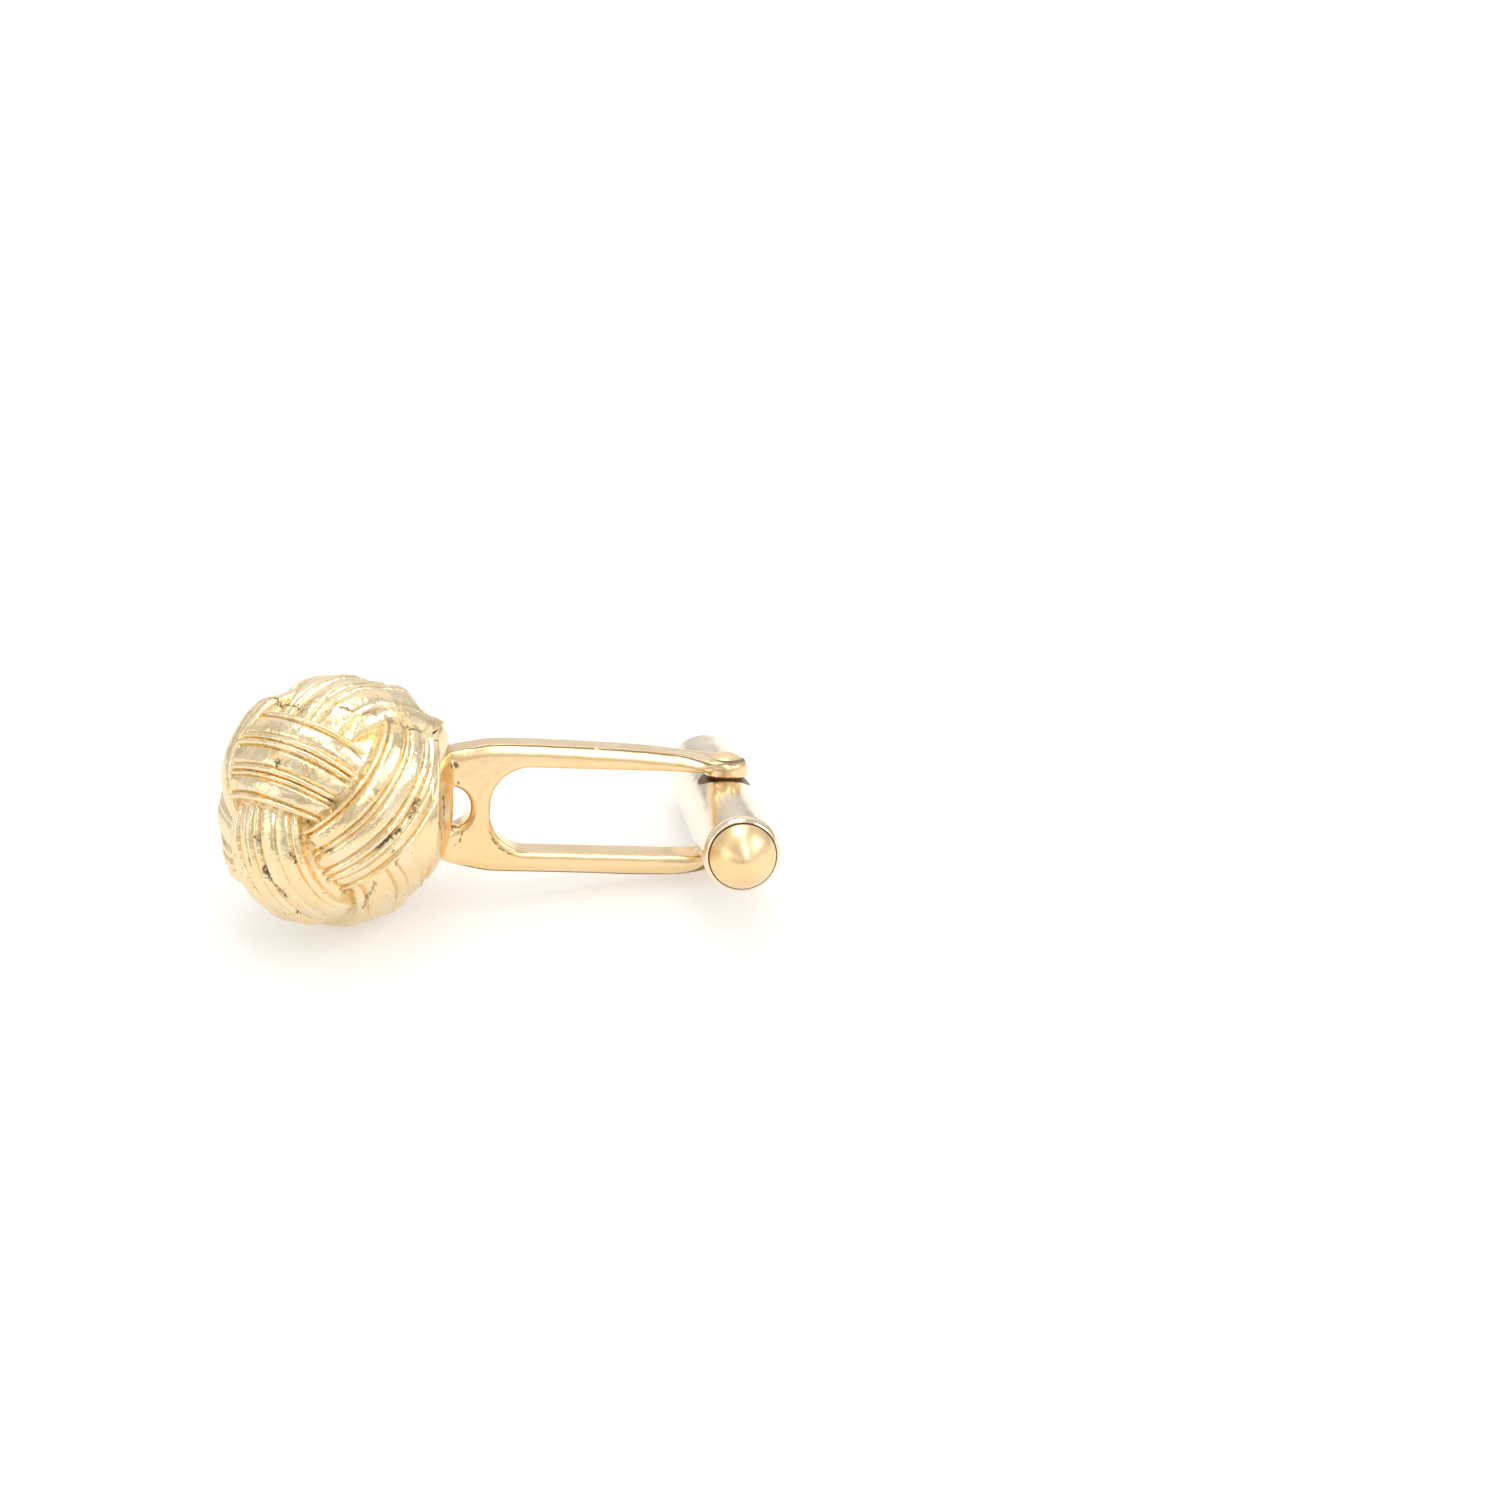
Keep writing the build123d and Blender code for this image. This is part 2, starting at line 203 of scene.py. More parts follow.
class CufflinkColours(bpy.types.PropertyGroup):
    """Colours of the metal and of what time left on it."""

    gold: colour("Gold", "The cast metal", 0.88, 0.69, 0.41)
    pale_gold: colour("Pale gold", "Worn, slightly greener patches", 0.86, 0.75, 0.53)
    rose_gold: colour("Rose gold", "The warmer metal of the fork and the caps", 0.89, 0.625, 0.31)
    # Paler than the caps' metal: the tube's colour paints the brighter sheen of its reflections.
    bar_gold: colour("Bar gold", "The bright metal of the tube", 0.85, 0.70, 0.49)
    # The stain also paints shade where the bands' ends tuck under their neighbours.
    stain: colour("Stain", "Brown residue in the grooves", 0.20, 0.09, 0.02)
    # The mark colour also paints dark edge reflections on the fork, the shadow round the pin's
    # heads and the shade on the flats under the ears.
    mark: colour("Mark", "Dark brown marks and slits", 0.10, 0.05, 0.015)
    spot: colour("Spot", "Small dark spots", 0.05, 0.045, 0.03)
    tarnish: colour("Tarnish", "Orange film on the dome's edge", 0.80, 0.47, 0.16)
    floor: colour("Floor", "The pale surface", 0.56, 0.55, 0.53)


# Modelling by hand.


def knot_centre():
    """The ball's centre in the link frame."""
    sizes = bpy.context.scene.cufflink_knot
    return Vector((-sizes.plate_apex - sizes.rise, 0, 0))


def deselect_all():
    if bpy.context.object and bpy.context.object.mode != "OBJECT":
        bpy.ops.object.mode_set(mode="OBJECT")
    bpy.ops.object.select_all(action="DESELECT")


def take(piece):
    """Makes the piece the active one, and the only one that is selected."""
    deselect_all()
    piece.select_set(True)
    bpy.context.view_layer.objects.active = piece


def edit_whole(piece, *steps):
    """Runs each step in Edit Mode with the piece's whole mesh selected."""
    take(piece)
    bpy.ops.object.mode_set(mode="EDIT")
    for step, settings in steps:
        bpy.ops.mesh.select_all(action="SELECT")
        step(**settings)
    bpy.ops.object.mode_set(mode="OBJECT")


# Steps for edit_whole that several pieces share.
FILL = (bpy.ops.mesh.edge_face_add, {})
MERGE = (bpy.ops.mesh.remove_doubles, {"threshold": 0.002 * MM})
OUTWARD = (bpy.ops.mesh.normals_make_consistent, {"inside": False})


def solid(name, add, place, stretch=(1, 1, 1), **settings):
    """A simple solid at a place of the link frame, stretched along the axes."""
    deselect_all()
    add(location=place, **settings)
    piece = bpy.context.object
    piece.name = name
    bpy.ops.transform.resize(value=stretch)
    bpy.ops.object.transform_apply(location=True, scale=True)
    return piece


def spun(centre, axis, angle, steps):
    """The step that sweeps a line round an axis."""
    return bpy.ops.mesh.spin, {"steps": steps, "angle": angle, "center": centre, "axis": axis}


def draw_line(name, points, closed=False):
    """A chain of edges through the points, drawn by extruding one corner."""
    deselect_all()
    bpy.ops.mesh.primitive_plane_add(size=MM)
    line = bpy.context.object
    line.name = name
    bpy.ops.object.mode_set(mode="EDIT")
    bpy.ops.mesh.select_all(action="SELECT")
    bpy.ops.mesh.merge(type="CENTER")
    bpy.ops.transform.translate(value=points[0])
    for start, end in zip(points, points[1:]):
        step = Vector(end) - Vector(start)
        bpy.ops.mesh.extrude_vertices_move(TRANSFORM_OT_translate={"value": step})
    if closed:
        bpy.ops.mesh.select_all(action="SELECT")
        bpy.ops.mesh.edge_face_add()
    bpy.ops.object.mode_set(mode="OBJECT")
    return line


def slab(name, outline, width):
    """A flat piece with that outline in the plane of post and pin, so wide along the bar."""
    piece = draw_line(name, [(x, -width / 2, z) for x, z in outline], closed=True)
    shift = {"TRANSFORM_OT_translate": {"value": (0, width, 0)}}
    edit_whole(piece, (bpy.ops.mesh.extrude_region_move, shift), OUTWARD)
    return piece


def arc(centre, radius, start, finish, steps):
    """Points on an arc between two angles in degrees, both ends among them."""
    turns = [math.radians(start + (finish - start) * i / steps) for i in range(steps + 1)]
    return [(centre[0] + radius * math.cos(a), centre[1] + radius * math.sin(a)) for a in turns]


def tangent_arc(start, heading, finish, steps):
    """Points on the arc that leaves the start along the heading and ends at the finish."""
    start, heading = Vector(start), Vector(heading).normalized()
    chord = Vector(finish) - start
    inward = Vector((heading.y, -heading.x))
    if inward.dot(chord) < 0:
        inward = -inward
    radius = chord.length_squared / (2 * chord.dot(inward))
    centre = start + inward * radius
    sweep = 2 * math.asin(chord.length / (2 * radius))
    points = []
    for step in range(steps + 1):
        a = sweep * step / steps
        place = centre - inward * radius * math.cos(a) + heading * radius * math.sin(a)
        points.append(tuple(place))
    return points


def smooth_curve(points, steps):
    """A curve through the points, with so many steps between each two."""
    curve = []
    last = len(points) - 1
    for i in range(last):
        before, here = Vector(points[max(i - 1, 0)]), Vector(points[i])
        after, beyond = Vector(points[i + 1]), Vector(points[min(i + 2, last)])
        for step in range(steps):
            t = step / steps
            place = 2 * here + (after - before) * t
            place += (2 * before - 5 * here + 4 * after - beyond) * t**2
            place += (3 * here - before - 3 * after + beyond) * t**3
            curve.append(tuple(place / 2))
    return curve + [tuple(points[-1])]


TURN_AXES = {
    # axis: (its direction, where a point of the outline lies)
    "X": ((1, 0, 0), lambda radius, along: (along, radius, 0)),
    "Y": ((0, 1, 0), lambda radius, along: (radius, along, 0)),
    "Z": ((0, 0, 1), lambda radius, along: (radius, 0, along)),
}


def turn(name, outline, axis, steps):
    """A turned solid from its outline, given as (radius, place on the axis)."""
    direction, place = TURN_AXES[axis]
    line = draw_line(name, [place(*point) for point in outline])
    edit_whole(line, spun((0, 0, 0), direction, 2 * math.pi, steps), MERGE, OUTWARD)
    return line


def apply_modifier(piece, kind, **settings):
    take(piece)
    bpy.ops.object.modifier_add(type=kind)
    modifier = piece.modifiers[-1]
    for setting, value in settings.items():
        setattr(modifier, setting, value)
    bpy.ops.object.modifier_apply(modifier=modifier.name)


def cut(piece, cutter):
    """Takes the cutter out of the piece and deletes the cutter."""
    apply_modifier(piece, "BOOLEAN", operation="DIFFERENCE", solver="EXACT", object=cutter)
    bpy.data.objects.remove(cutter)


def join(name, pieces):
    deselect_all()
    for piece in pieces:
        piece.select_set(True)
    bpy.context.view_layer.objects.active = pieces[0]
    bpy.ops.object.join()
    pieces[0].name = name
    return pieces[0]


def smooth(piece, degrees):
    take(piece)
    bpy.ops.object.shade_smooth_by_angle(angle=math.radians(degrees))


def dress(piece, finish, body, slot, *nodes):
    """Puts a finished piece in the row frame, with its metal, its body and its CAD nodes."""
    piece.data.transform(LINK)
    piece.data.materials.clear()
    piece.data.materials.append(made_finish(finish))
    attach(piece, body)
    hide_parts(*nodes)


# Finishes.


class Value:
    """A socket that holds a number, with the sums that shape it."""

    def __init__(self, nodes, socket):
        self.nodes = nodes
        self.socket = socket

    def sum(self, operation, *values):
        return self.nodes.number("ShaderNodeMath", {"operation": operation}, *values)

    def __add__(self, other):
        return self.sum("ADD", self, other)

    def __sub__(self, other):
        return self.sum("SUBTRACT", self, other)

    def __rsub__(self, other):
        return self.sum("SUBTRACT", other, self)

    def __mul__(self, other):
        return self.sum("MULTIPLY", self, other)

    def __pow__(self, other):
        return self.sum("POWER", self, other)

    __radd__ = __add__
    __rmul__ = __mul__

    def size(self):
        """The number without its sign."""
        return self.sum("ABSOLUTE", self)

    def clamp(self):
        return self.nodes.number("ShaderNodeClamp", {}, self)

    def rise(self, low, high, start=0.0, end=1.0):
        """The start below low and the end above high, with a smooth slope between."""
        settings = {"interpolation_type": "SMOOTHSTEP"}
        return self.nodes.number("ShaderNodeMapRange", settings, self, low, high, start, end)


# Noises that the finishes and the studio share.
NOISES = {
    # name: (scale, detail, roughness, distortion)
    "ball mark edges": (7.5, 4.0, 0.8, 0.0),
    "cast patches": (0.55, 2.0, 0.5, 0.0),
    "cast specks": (5.5, 4.0, 0.6, 0.0),
    "cast grit": (2.2, 5.0, 0.65, 0.0),
    "cast waves": (1.3, 2.0, 0.5, 0.0),
    "cast hammering": (3.4, 2.0, 0.6, 0.0),
    "cast grain": (9.0, 3.0, 0.6, 0.0),
    "core grit": (3.0, 4.0, 0.5, 0.0),
    "smooth patches": (0.3, 2.0, 0.5, 0.0),
    "dome waves": (0.7, 2.0, 0.5, 0.0),
    "dome mark edges": (4.0, 3.0, 0.7, 0.0),
    "fork waves": (0.8, 2.0, 0.5, 0.0),
    "fork scratches": (12.0, 2.0, 0.6, 1.5),
    "fork mark edges": (5.0, 3.0, 0.7, 0.0),
    "edge reflection breaks": (0.9, 3.0, 0.6, 0.0),
    "bar patches": (0.35, 2.0, 0.5, 0.0),
    "bar waves": (0.6, 2.0, 0.5, 0.0),
    "scratches": (14.0, 2.0, 0.6, 1.5),
    "studio walls": (1.7, 0.5, 0.5, 0.0),
}


class Nodes:
    """A node tree, with one method for any node."""

    def __init__(self, tree):
        self.tree = tree

    def node(self, kind, settings, sockets):
        """Any node: its settings first, then the values or links of its sockets."""
        made = self.tree.nodes.new(kind)
        for setting, value in settings.items():
            setattr(made, setting, value)
        for key, value in sockets.items():
            if isinstance(value, Value):
                value = value.socket
            if isinstance(value, bpy.types.NodeSocket):
                self.tree.links.new(value, made.inputs[key])
            else:
                made.inputs[key].default_value = value
        return made

    def number(self, kind, settings, *values):
        made = self.node(kind, settings, dict(enumerate(values)))
        return Value(self, made.outputs[0])

    def noise(self, place, name):
        scale, detail, roughness, distortion = NOISES[name]
        sockets = {
            "Vector": place, "Scale": scale, "Detail": detail, "Roughness": roughness,
            "Distortion": distortion,
        }
        return Value(self, self.node("ShaderNodeTexNoise", {}, sockets).outputs[0])


class Surface(Nodes):
    """The node tree of one finish. Its lengths are millimetres."""

    def __init__(self, name):
        self.material = bpy.data.materials.new(name)
        self.material.use_nodes = True
        super().__init__(self.material.node_tree)
        self.tree.nodes.clear()

    def place(self):
        """Object coordinates in millimetres."""
        coordinates = self.node("ShaderNodeTexCoord", {}, {})
        scale = {"Vector": coordinates.outputs["Object"], "Scale": (1 / MM,) * 3}
        return self.node("ShaderNodeMapping", {}, scale).outputs[0]

    def attribute(self, name):
        made = self.node("ShaderNodeAttribute", {"attribute_name": name}, {})
        return Value(self, made.outputs["Fac"])

    def layered(self, base, *layers):
        """The base colour under layers of other colours, each as (amount, colour)."""
        metal = (*base, 1.0)
        for amount, colour in layers:
            sockets = {0: amount, 6: metal, 7: (*colour, 1.0)}
            metal = self.node("ShaderNodeMix", {"data_type": "RGBA"}, sockets).outputs[2]
        return metal

    def vector(self, operation, first, second=(0.0, 0.0, 0.0), result="Vector"):
        made = self.node("ShaderNodeVectorMath", {"operation": operation}, {0: first, 1: second})
        return made.outputs[result]

    def along(self, place, axis):
        """How far a place lies along an axis."""
        return Value(self, self.vector("DOT_PRODUCT", place, tuple(axis), "Value"))

    def from_link(self, place):
        """The way from the link's origin to a place."""
        return self.vector("SUBTRACT", place, tuple(LINK.translation / MM))

    def link_axes(self, place):
        """How far a place lies from the link's origin along post, bar and pin."""
        offset = self.from_link(place)
        return [self.along(offset, axis) for axis in (POST_DIR, BAR_DIR, PIN_DIR)]

    def apart(self, place, start, end):
        """Distance from the line between two places, or from one place if they are the same."""
        if start == end:
            return Value(self, self.vector("DISTANCE", place, start, "Value"))
        run = Vector(end) - Vector(start)
        offset = self.vector("SUBTRACT", place, start)
        share = (self.along(offset, run / run.length_squared)).clamp()
        settings = {"operation": "SCALE"}
        reach = self.node("ShaderNodeVectorMath", settings, {0: tuple(run), "Scale": share})
        return Value(self, self.vector("DISTANCE", offset, reach.outputs[0], "Value"))

    def marks(self, place, rows, scale, ragged, full, end):
        """Sum of a table's marks, which fade between two shares of their radius."""
        total = 0.0
        for start, finish, radius, strength in rows:
            apart = self.apart(place, in_row(start), in_row(finish)) * scale + ragged
            total = total + (1 - apart.rise(radius * full, radius * end)) * strength
        return total

    def ball_marks(self, place, rows, ragged, full=0.35, end=0.95):
        """Sum of a table's marks, whose places are directions from the ball's centre."""
        radius = bpy.context.scene.cufflink_knot.radius / MM
        centre = tuple(LINK @ knot_centre() / MM)
        ray = self.vector("NORMALIZE", self.vector("SUBTRACT", place, centre))
        units = [(Vector(a).normalized(), Vector(b).normalized(), *rest) for a, b, *rest in rows]
        return self.marks(ray, units, radius, ragged, full, end)

    def bumps(self, *layers):
        """The normal over layers of relief, each as (height, depth, strength)."""
        below = {}
        for height, depth, strength in layers:
            sockets = {"Height": height, "Distance": depth * MM, "Strength": strength, **below}
            below = {"Normal": self.node("ShaderNodeBump", {}, sockets).outputs[0]}
        return below["Normal"]

    def finish(self, **sockets):
        """Ends the tree in a Principled shader with those sockets."""
        named = {key.replace("_", " "): value for key, value in sockets.items()}
        shader = self.node("ShaderNodeBsdfPrincipled", {}, named)
        self.node("ShaderNodeOutputMaterial", {}, {0: shader.outputs[0]})
        return self.material


# Dark marks that time left on the ball: directions from its centre in the link frame.
BALL_MARKS = [
    # (where it starts, where it ends, radius in millimetres, how dark)
    ((-0.486, -0.715, 0.488), (-0.486, -0.715, 0.482), 0.24, 1.0),
    ((-0.021, -0.955, 0.27), (-0.06, -0.965, 0.25), 0.34, 0.45),
    ((0.238, -0.431, 0.862), (0.26, -0.43, 0.86), 0.26, 0.6),
    ((0.361, -0.433, 0.817), (0.43, -0.42, 0.79), 0.2, 0.5),
    ((0.529, -0.395, 0.742), (0.643, -0.332, 0.68), 0.16, 0.9),
    ((0.266, -0.9, 0.325), (0.25, -0.9, 0.34), 0.2, 0.5),
    ((0.596, -0.76, 0.232), (0.533, -0.83, 0.117), 0.13, 0.8),
    ((0.453, -0.883, 0.025), (0.294, -0.943, -0.102), 0.11, 1.0),
    ((0.419, -0.889, -0.143), (0.41, -0.895, -0.15), 0.11, 0.8),
    ((0.511, -0.8, -0.293), (0.5, -0.8, -0.31), 0.1, 0.8),
    ((-0.627, -0.016, 0.769), (-0.43, -0.185, 0.875), 0.15, 0.9),
    ((-0.411, -0.226, 0.874), (-0.332, -0.311, 0.882), 0.13, 0.8),
    ((-0.292, -0.305, 0.898), (-0.326, -0.365, 0.863), 0.1, 0.7),
    ((-0.006, -0.428, 0.896), (0.095, -0.46, 0.875), 0.14, 0.8),
    ((-0.569, -0.732, -0.353), (-0.38, -0.717, -0.572), 0.17, 0.95),
    ((-0.814, -0.445, -0.351), (-0.769, -0.398, -0.484), 0.1, 0.8),
    ((-0.696, -0.633, -0.315), (-0.647, -0.64, -0.396), 0.08, 0.7),
    ((-0.668, -0.53, -0.507), (-0.612, -0.536, -0.568), 0.09, 0.7),
    ((-0.651, -0.74, -0.114), (-0.64, -0.745, -0.14), 0.1, 0.8),
    ((-0.377, -0.899, -0.188), (-0.328, -0.901, -0.256), 0.08, 0.9),
    ((-0.383, -0.525, -0.75), (-0.37, -0.53, -0.76), 0.12, 0.8),
    ((-0.283, -0.597, -0.74), (-0.194, -0.586, -0.777), 0.09, 0.8),
    ((0.322, -0.803, -0.487), (0.228, -0.666, -0.701), 0.12, 0.6),
    ((-0.133, -0.971, -0.161), (-0.08, -0.975, -0.15), 0.22, 0.4),
    ((-0.256, -0.957, -0.07), (-0.207, -0.963, -0.123), 0.1, 0.7),
]
# Patches where the casting stayed rough, in the same frame.
ROUGH_PATCHES = [
    # (where it starts, where it ends, radius in millimetres, how rough)
    ((-0.099, -0.352, 0.923), (-0.099, -0.352, 0.923), 0.75, 1.0),
    ((-0.139, -0.863, 0.47), (-0.139, -0.863, 0.47), 0.6, 1.0),
    ((0.076, -0.909, 0.391), (0.076, -0.909, 0.391), 0.7, 1.0),
    ((0.113, -0.835, -0.524), (0.113, -0.835, -0.524), 0.75, 1.0),
    ((0.45, -0.3, 0.84), (0.45, -0.3, 0.84), 0.9, 1.0),
]


def in_row(vector):
    """A vector of the link frame in the row frame."""
    return tuple(LINK_TURN @ Vector(vector))


def woven_gold(colours):
    """Worn cast gold: bright on the strands, brown where residue stays in the grooves, and brown
    as painted shade where the bands' ends tuck under their neighbours.
    """
    surface = Surface("woven_gold")
    place = surface.place()
    ragged = surface.noise(place, "ball mark edges") * 1.15 - 0.54
    marks = surface.ball_marks(place, BALL_MARKS, ragged).clamp()
    rough = surface.ball_marks(place, ROUGH_PATCHES, 0.0, 0.4, 1.0).clamp()
    patches = surface.noise(place, "cast patches").rise(0.42, 0.62)
    specks = surface.noise(place, "cast specks").rise(0.655, 0.73)
    grit = surface.noise(place, "cast grit")
    in_grooves = (surface.attribute("groove") * 0.9 + grit * 0.9 - 1.28).clamp() * 3.0
    # Painted shade, with some residue, where a band's end tucks under its neighbour.
    tuck_shade_and_residue = (surface.attribute("tuck") + grit * 0.8 - 1.2).clamp() * 2.5
    residue_and_shade = (in_grooves + tuck_shade_and_residue).clamp()
    metal = surface.layered(
        colours.gold, (patches * 0.7, colours.pale_gold), (residue_and_shade * 0.75, colours.stain),
        (marks * 0.9, colours.mark), (specks * 0.7, colours.spot),
    )
    roughness = 0.14 + patches * 0.1 + residue_and_shade * 0.4 + specks * 0.3 + marks * 0.4 + rough * 0.08
    hammering = surface.noise(place, "cast hammering") * (0.25 + rough)
    grain = surface.noise(place, "cast grain") * (1 + rough * 2.0)
    normal = surface.bumps(
        (surface.noise(place, "cast waves"), 0.09, 1.0), (hammering, 0.09, 1.0),
        (grain - specks * 1.5 - marks * 3.0, 0.016, 0.8),
    )
    return surface.finish(
        Base_Color=metal, Metallic=1 - residue_and_shade * 0.6 - marks * 0.3, Roughness=roughness,
        Normal=normal,
    )


def core_gold(colours):
    """Dull, brown metal deep between the bands."""
    surface = Surface("core_gold")
    clean = surface.noise(surface.place(), "core grit").rise(0.4, 0.65)
    metal = surface.layered(colours.stain, (clean, colours.gold))
    return surface.finish(Base_Color=metal, Metallic=0.85, Roughness=0.5)


# Dark slits and spots near the dome's edge: directions from the ball's centre in the link frame.
DOME_MARKS = [
    # (where it starts, where it ends, radius in millimetres, how dark)
    ((0.811, -0.536, 0.201), (0.82, -0.556, 0.067), 0.09, 0.9),
    ((0.764, -0.252, 0.583), (0.764, -0.252, 0.583), 0.12, 0.8),
    ((0.749, -0.19, 0.623), (0.749, -0.19, 0.623), 0.1, 0.7),
    ((0.777, -0.358, 0.504), (0.777, -0.358, 0.504), 0.1, 0.6),
    ((0.775, -0.621, 0.019), (0.817, -0.549, -0.132), 0.08, 0.5),
]


# Where the residue round the fork's feet and the orange film lie on the dome, in millimetres
# from the link's middle along the bar (side) and along the pin.
FEET_SIDE = (1.0, 1.25)
FEET_INSIDE = (0.9, 1.2)
FEET_OUTSIDE = (2.7, 3.1)
FILM_SIDE = (2.6, 3.8)
FILM_TOP = (2.0, 3.0)


def dome_gold(colours):
    """Smooth polished gold, with an orange film round the fork's feet and a few dark marks."""
    surface = Surface("dome_gold")
    place = surface.place()
    bar, pin = surface.link_axes(place)[1:]
    patches = surface.noise(place, "smooth patches").rise(0.4, 0.65)
    scratches = surface.noise(place, "scratches")
    ragged = surface.noise(place, "dome mark edges") - 0.5
    marks = surface.ball_marks(place, DOME_MARKS, ragged * 0.3).clamp()
    feet = 1 - (bar.size() + ragged * 0.4).rise(*FEET_SIDE)
    feet = feet * pin.size().rise(*FEET_INSIDE) * (1 - pin.size().rise(*FEET_OUTSIDE))
    film = 1 - (bar.size() + ragged * 1.5).rise(*FILM_SIDE)
    film = film * (1 - (pin + ragged).rise(*FILM_TOP))
    metal = surface.layered(
        colours.gold, (patches * 0.5, colours.pale_gold), (film * 0.62, colours.tarnish),
        (feet * 0.55, colours.stain), (marks * 0.9, colours.mark),
    )
    waves = surface.noise(place, "dome waves")
    normal = surface.bumps((waves, 0.05, 0.8), (scratches, 0.003, 0.6))
    roughness = 0.13 + patches * 0.06 + scratches.rise(0.55, 0.8) * 0.1 + feet * 0.2
    return surface.finish(Base_Color=metal, Metallic=1.0, Roughness=roughness, Normal=normal)


# Dark residue round the fork's root, and painted dark reflections along the edge of the slot's
# end.
FORK_RESIDUE_AND_EDGE_REFLECTIONS = [
    # (where it starts, where it ends, in millimetres of the link frame, radius, how dark)
    ((-14.25, -0.95, 2.36), (-14.2, -0.95, 2.3), 0.17, 1.0),
    ((-14.37, -0.95, 1.43), (-14.37, -0.95, 1.40), 0.11, 0.9),
    ((-14.05, -0.95, 1.39), (-14.03, -0.95, 1.36), 0.11, 0.9),
    ((-14.28, -0.9, -1.0), (-14.0, -0.9, -0.98), 0.17, 0.8),
    ((-13.68, -0.95, -1.25), (-13.86, -0.95, -1.8), 0.06, 0.8),
    ((-13.86, -0.95, -1.8), (-14.21, -0.95, -2.02), 0.06, 0.8),
    # These two rows paint dark reflections along the edge of the slot's end.
    ((-12.15, -0.95, -1.54), (-11.71, -0.95, -2.07), 0.06, 0.8),
    ((-11.71, -0.95, -2.07), (-11.06, -0.95, -2.43), 0.05, 0.8),
    ((-1.05, 0.75, 2.9), (-0.88, 0.1, 2.9), 0.07, 0.7),
    ((-0.88, 0.1, 2.9), (-0.78, -0.4, 2.9), 0.06, 0.7),
    ((-14.3, 0.95, 1.6), (-14.2, 0.95, 1.1), 0.16, 0.8),
    ((-14.3, 0.95, -1.3), (-13.9, 0.95, -1.2), 0.2, 0.8),
]


# A clear film makes the metal pale where it is seen at a grazing angle.
FILM_INDEX = 1.9
# Places on the fork, in millimetres of the link frame: the painted dark edge reflections' distance
# from the middle, where on the post they spread and from how much to how much, the radius of the
# painted shadow round the pin's head on an ear, and the root.
EDGE_REFLECTION_SIDE = 0.75
EDGE_REFLECTION_SPREAD = (-3.0, -0.6, 0.0, 0.3)
PIN_HEAD_SHADOW_RADIUS = 0.93
ROOT_REACH = (-14.6, -13.2)


def fork_gold(colours):
    """Satin warm gold, with thin dark lines along its edges and the slot's end that paint dark
    reflections, a painted shadow round the pin's heads, and residue at its root.
    """
    surface = Surface("fork_gold")
    place = surface.place()
    post, bar, pin = surface.link_axes(place)
    patches = surface.noise(place, "smooth patches").rise(0.4, 0.65)
    scratches = surface.noise(place, "fork scratches")
    ragged = surface.noise(place, "fork mark edges") * 0.3 - 0.15
    # Painted dark reflection: a thin dark line along the outer edge of each arm's flanks.
    from_edge = bar.size() - EDGE_REFLECTION_SIDE - post.rise(*EDGE_REFLECTION_SPREAD)
    edge_reflection = (1 - from_edge.size().rise(0.024, 0.05)) * pin.size().rise(2.6, 2.8)
    edge_reflection = edge_reflection * surface.noise(place, "edge reflection breaks").rise(0.27, 0.38)
    from_pin = (post * post + bar * bar) ** 0.5
    # Painted shadow: a dark crescent just outside the pin's head on each ear, on one side of it.
    pin_head_shadow = 1 - (from_pin - PIN_HEAD_SHADOW_RADIUS + ragged * 0.4).size().rise(0.05, 0.15)
    pin_head_shadow = pin_head_shadow * pin.size().rise(2.6, 2.7) * (0.45 * post - bar + ragged).rise(0.1, 0.6)
    spots = surface.marks(surface.from_link(place), FORK_RESIDUE_AND_EDGE_REFLECTIONS, 1.0, ragged, 0.5, 1.0)
    # These marks hold the painted edge reflections and the painted shadow round the pin's heads,
    # as well as the residue.
    marks = (edge_reflection * 0.9 + pin_head_shadow + spots).clamp()
    root = 1 - post.rise(*ROOT_REACH)
    metal = surface.layered(
        colours.rose_gold, (patches * 0.25, colours.pale_gold), (root * 0.25, colours.gold),
        (marks * 0.9, colours.mark),
    )
    waves = surface.noise(place, "fork waves")
    normal = surface.bumps((waves, 0.05, 0.8), (scratches * 0.4 - marks, 0.008, 0.8))
    roughness = 0.15 + patches * 0.06 + scratches.rise(0.55, 0.8) * 0.08 + marks * 0.4
    return surface.finish(
        Base_Color=metal, Metallic=1 - marks * 0.6, Roughness=roughness, Normal=normal,
        Coat_Weight=0.4, Coat_IOR=FILM_INDEX, Coat_Roughness=0.16,
    )


# Dark lines of the bar, and the edge of the painted shade on the flat under each ear, in
# millimetres from the pin's axis.
CAP_SEAM_PLACE = 8.635
FLAT_EDGE = (1.372, 1.384)
TUBE_JOINT_HEIGHT = -0.35


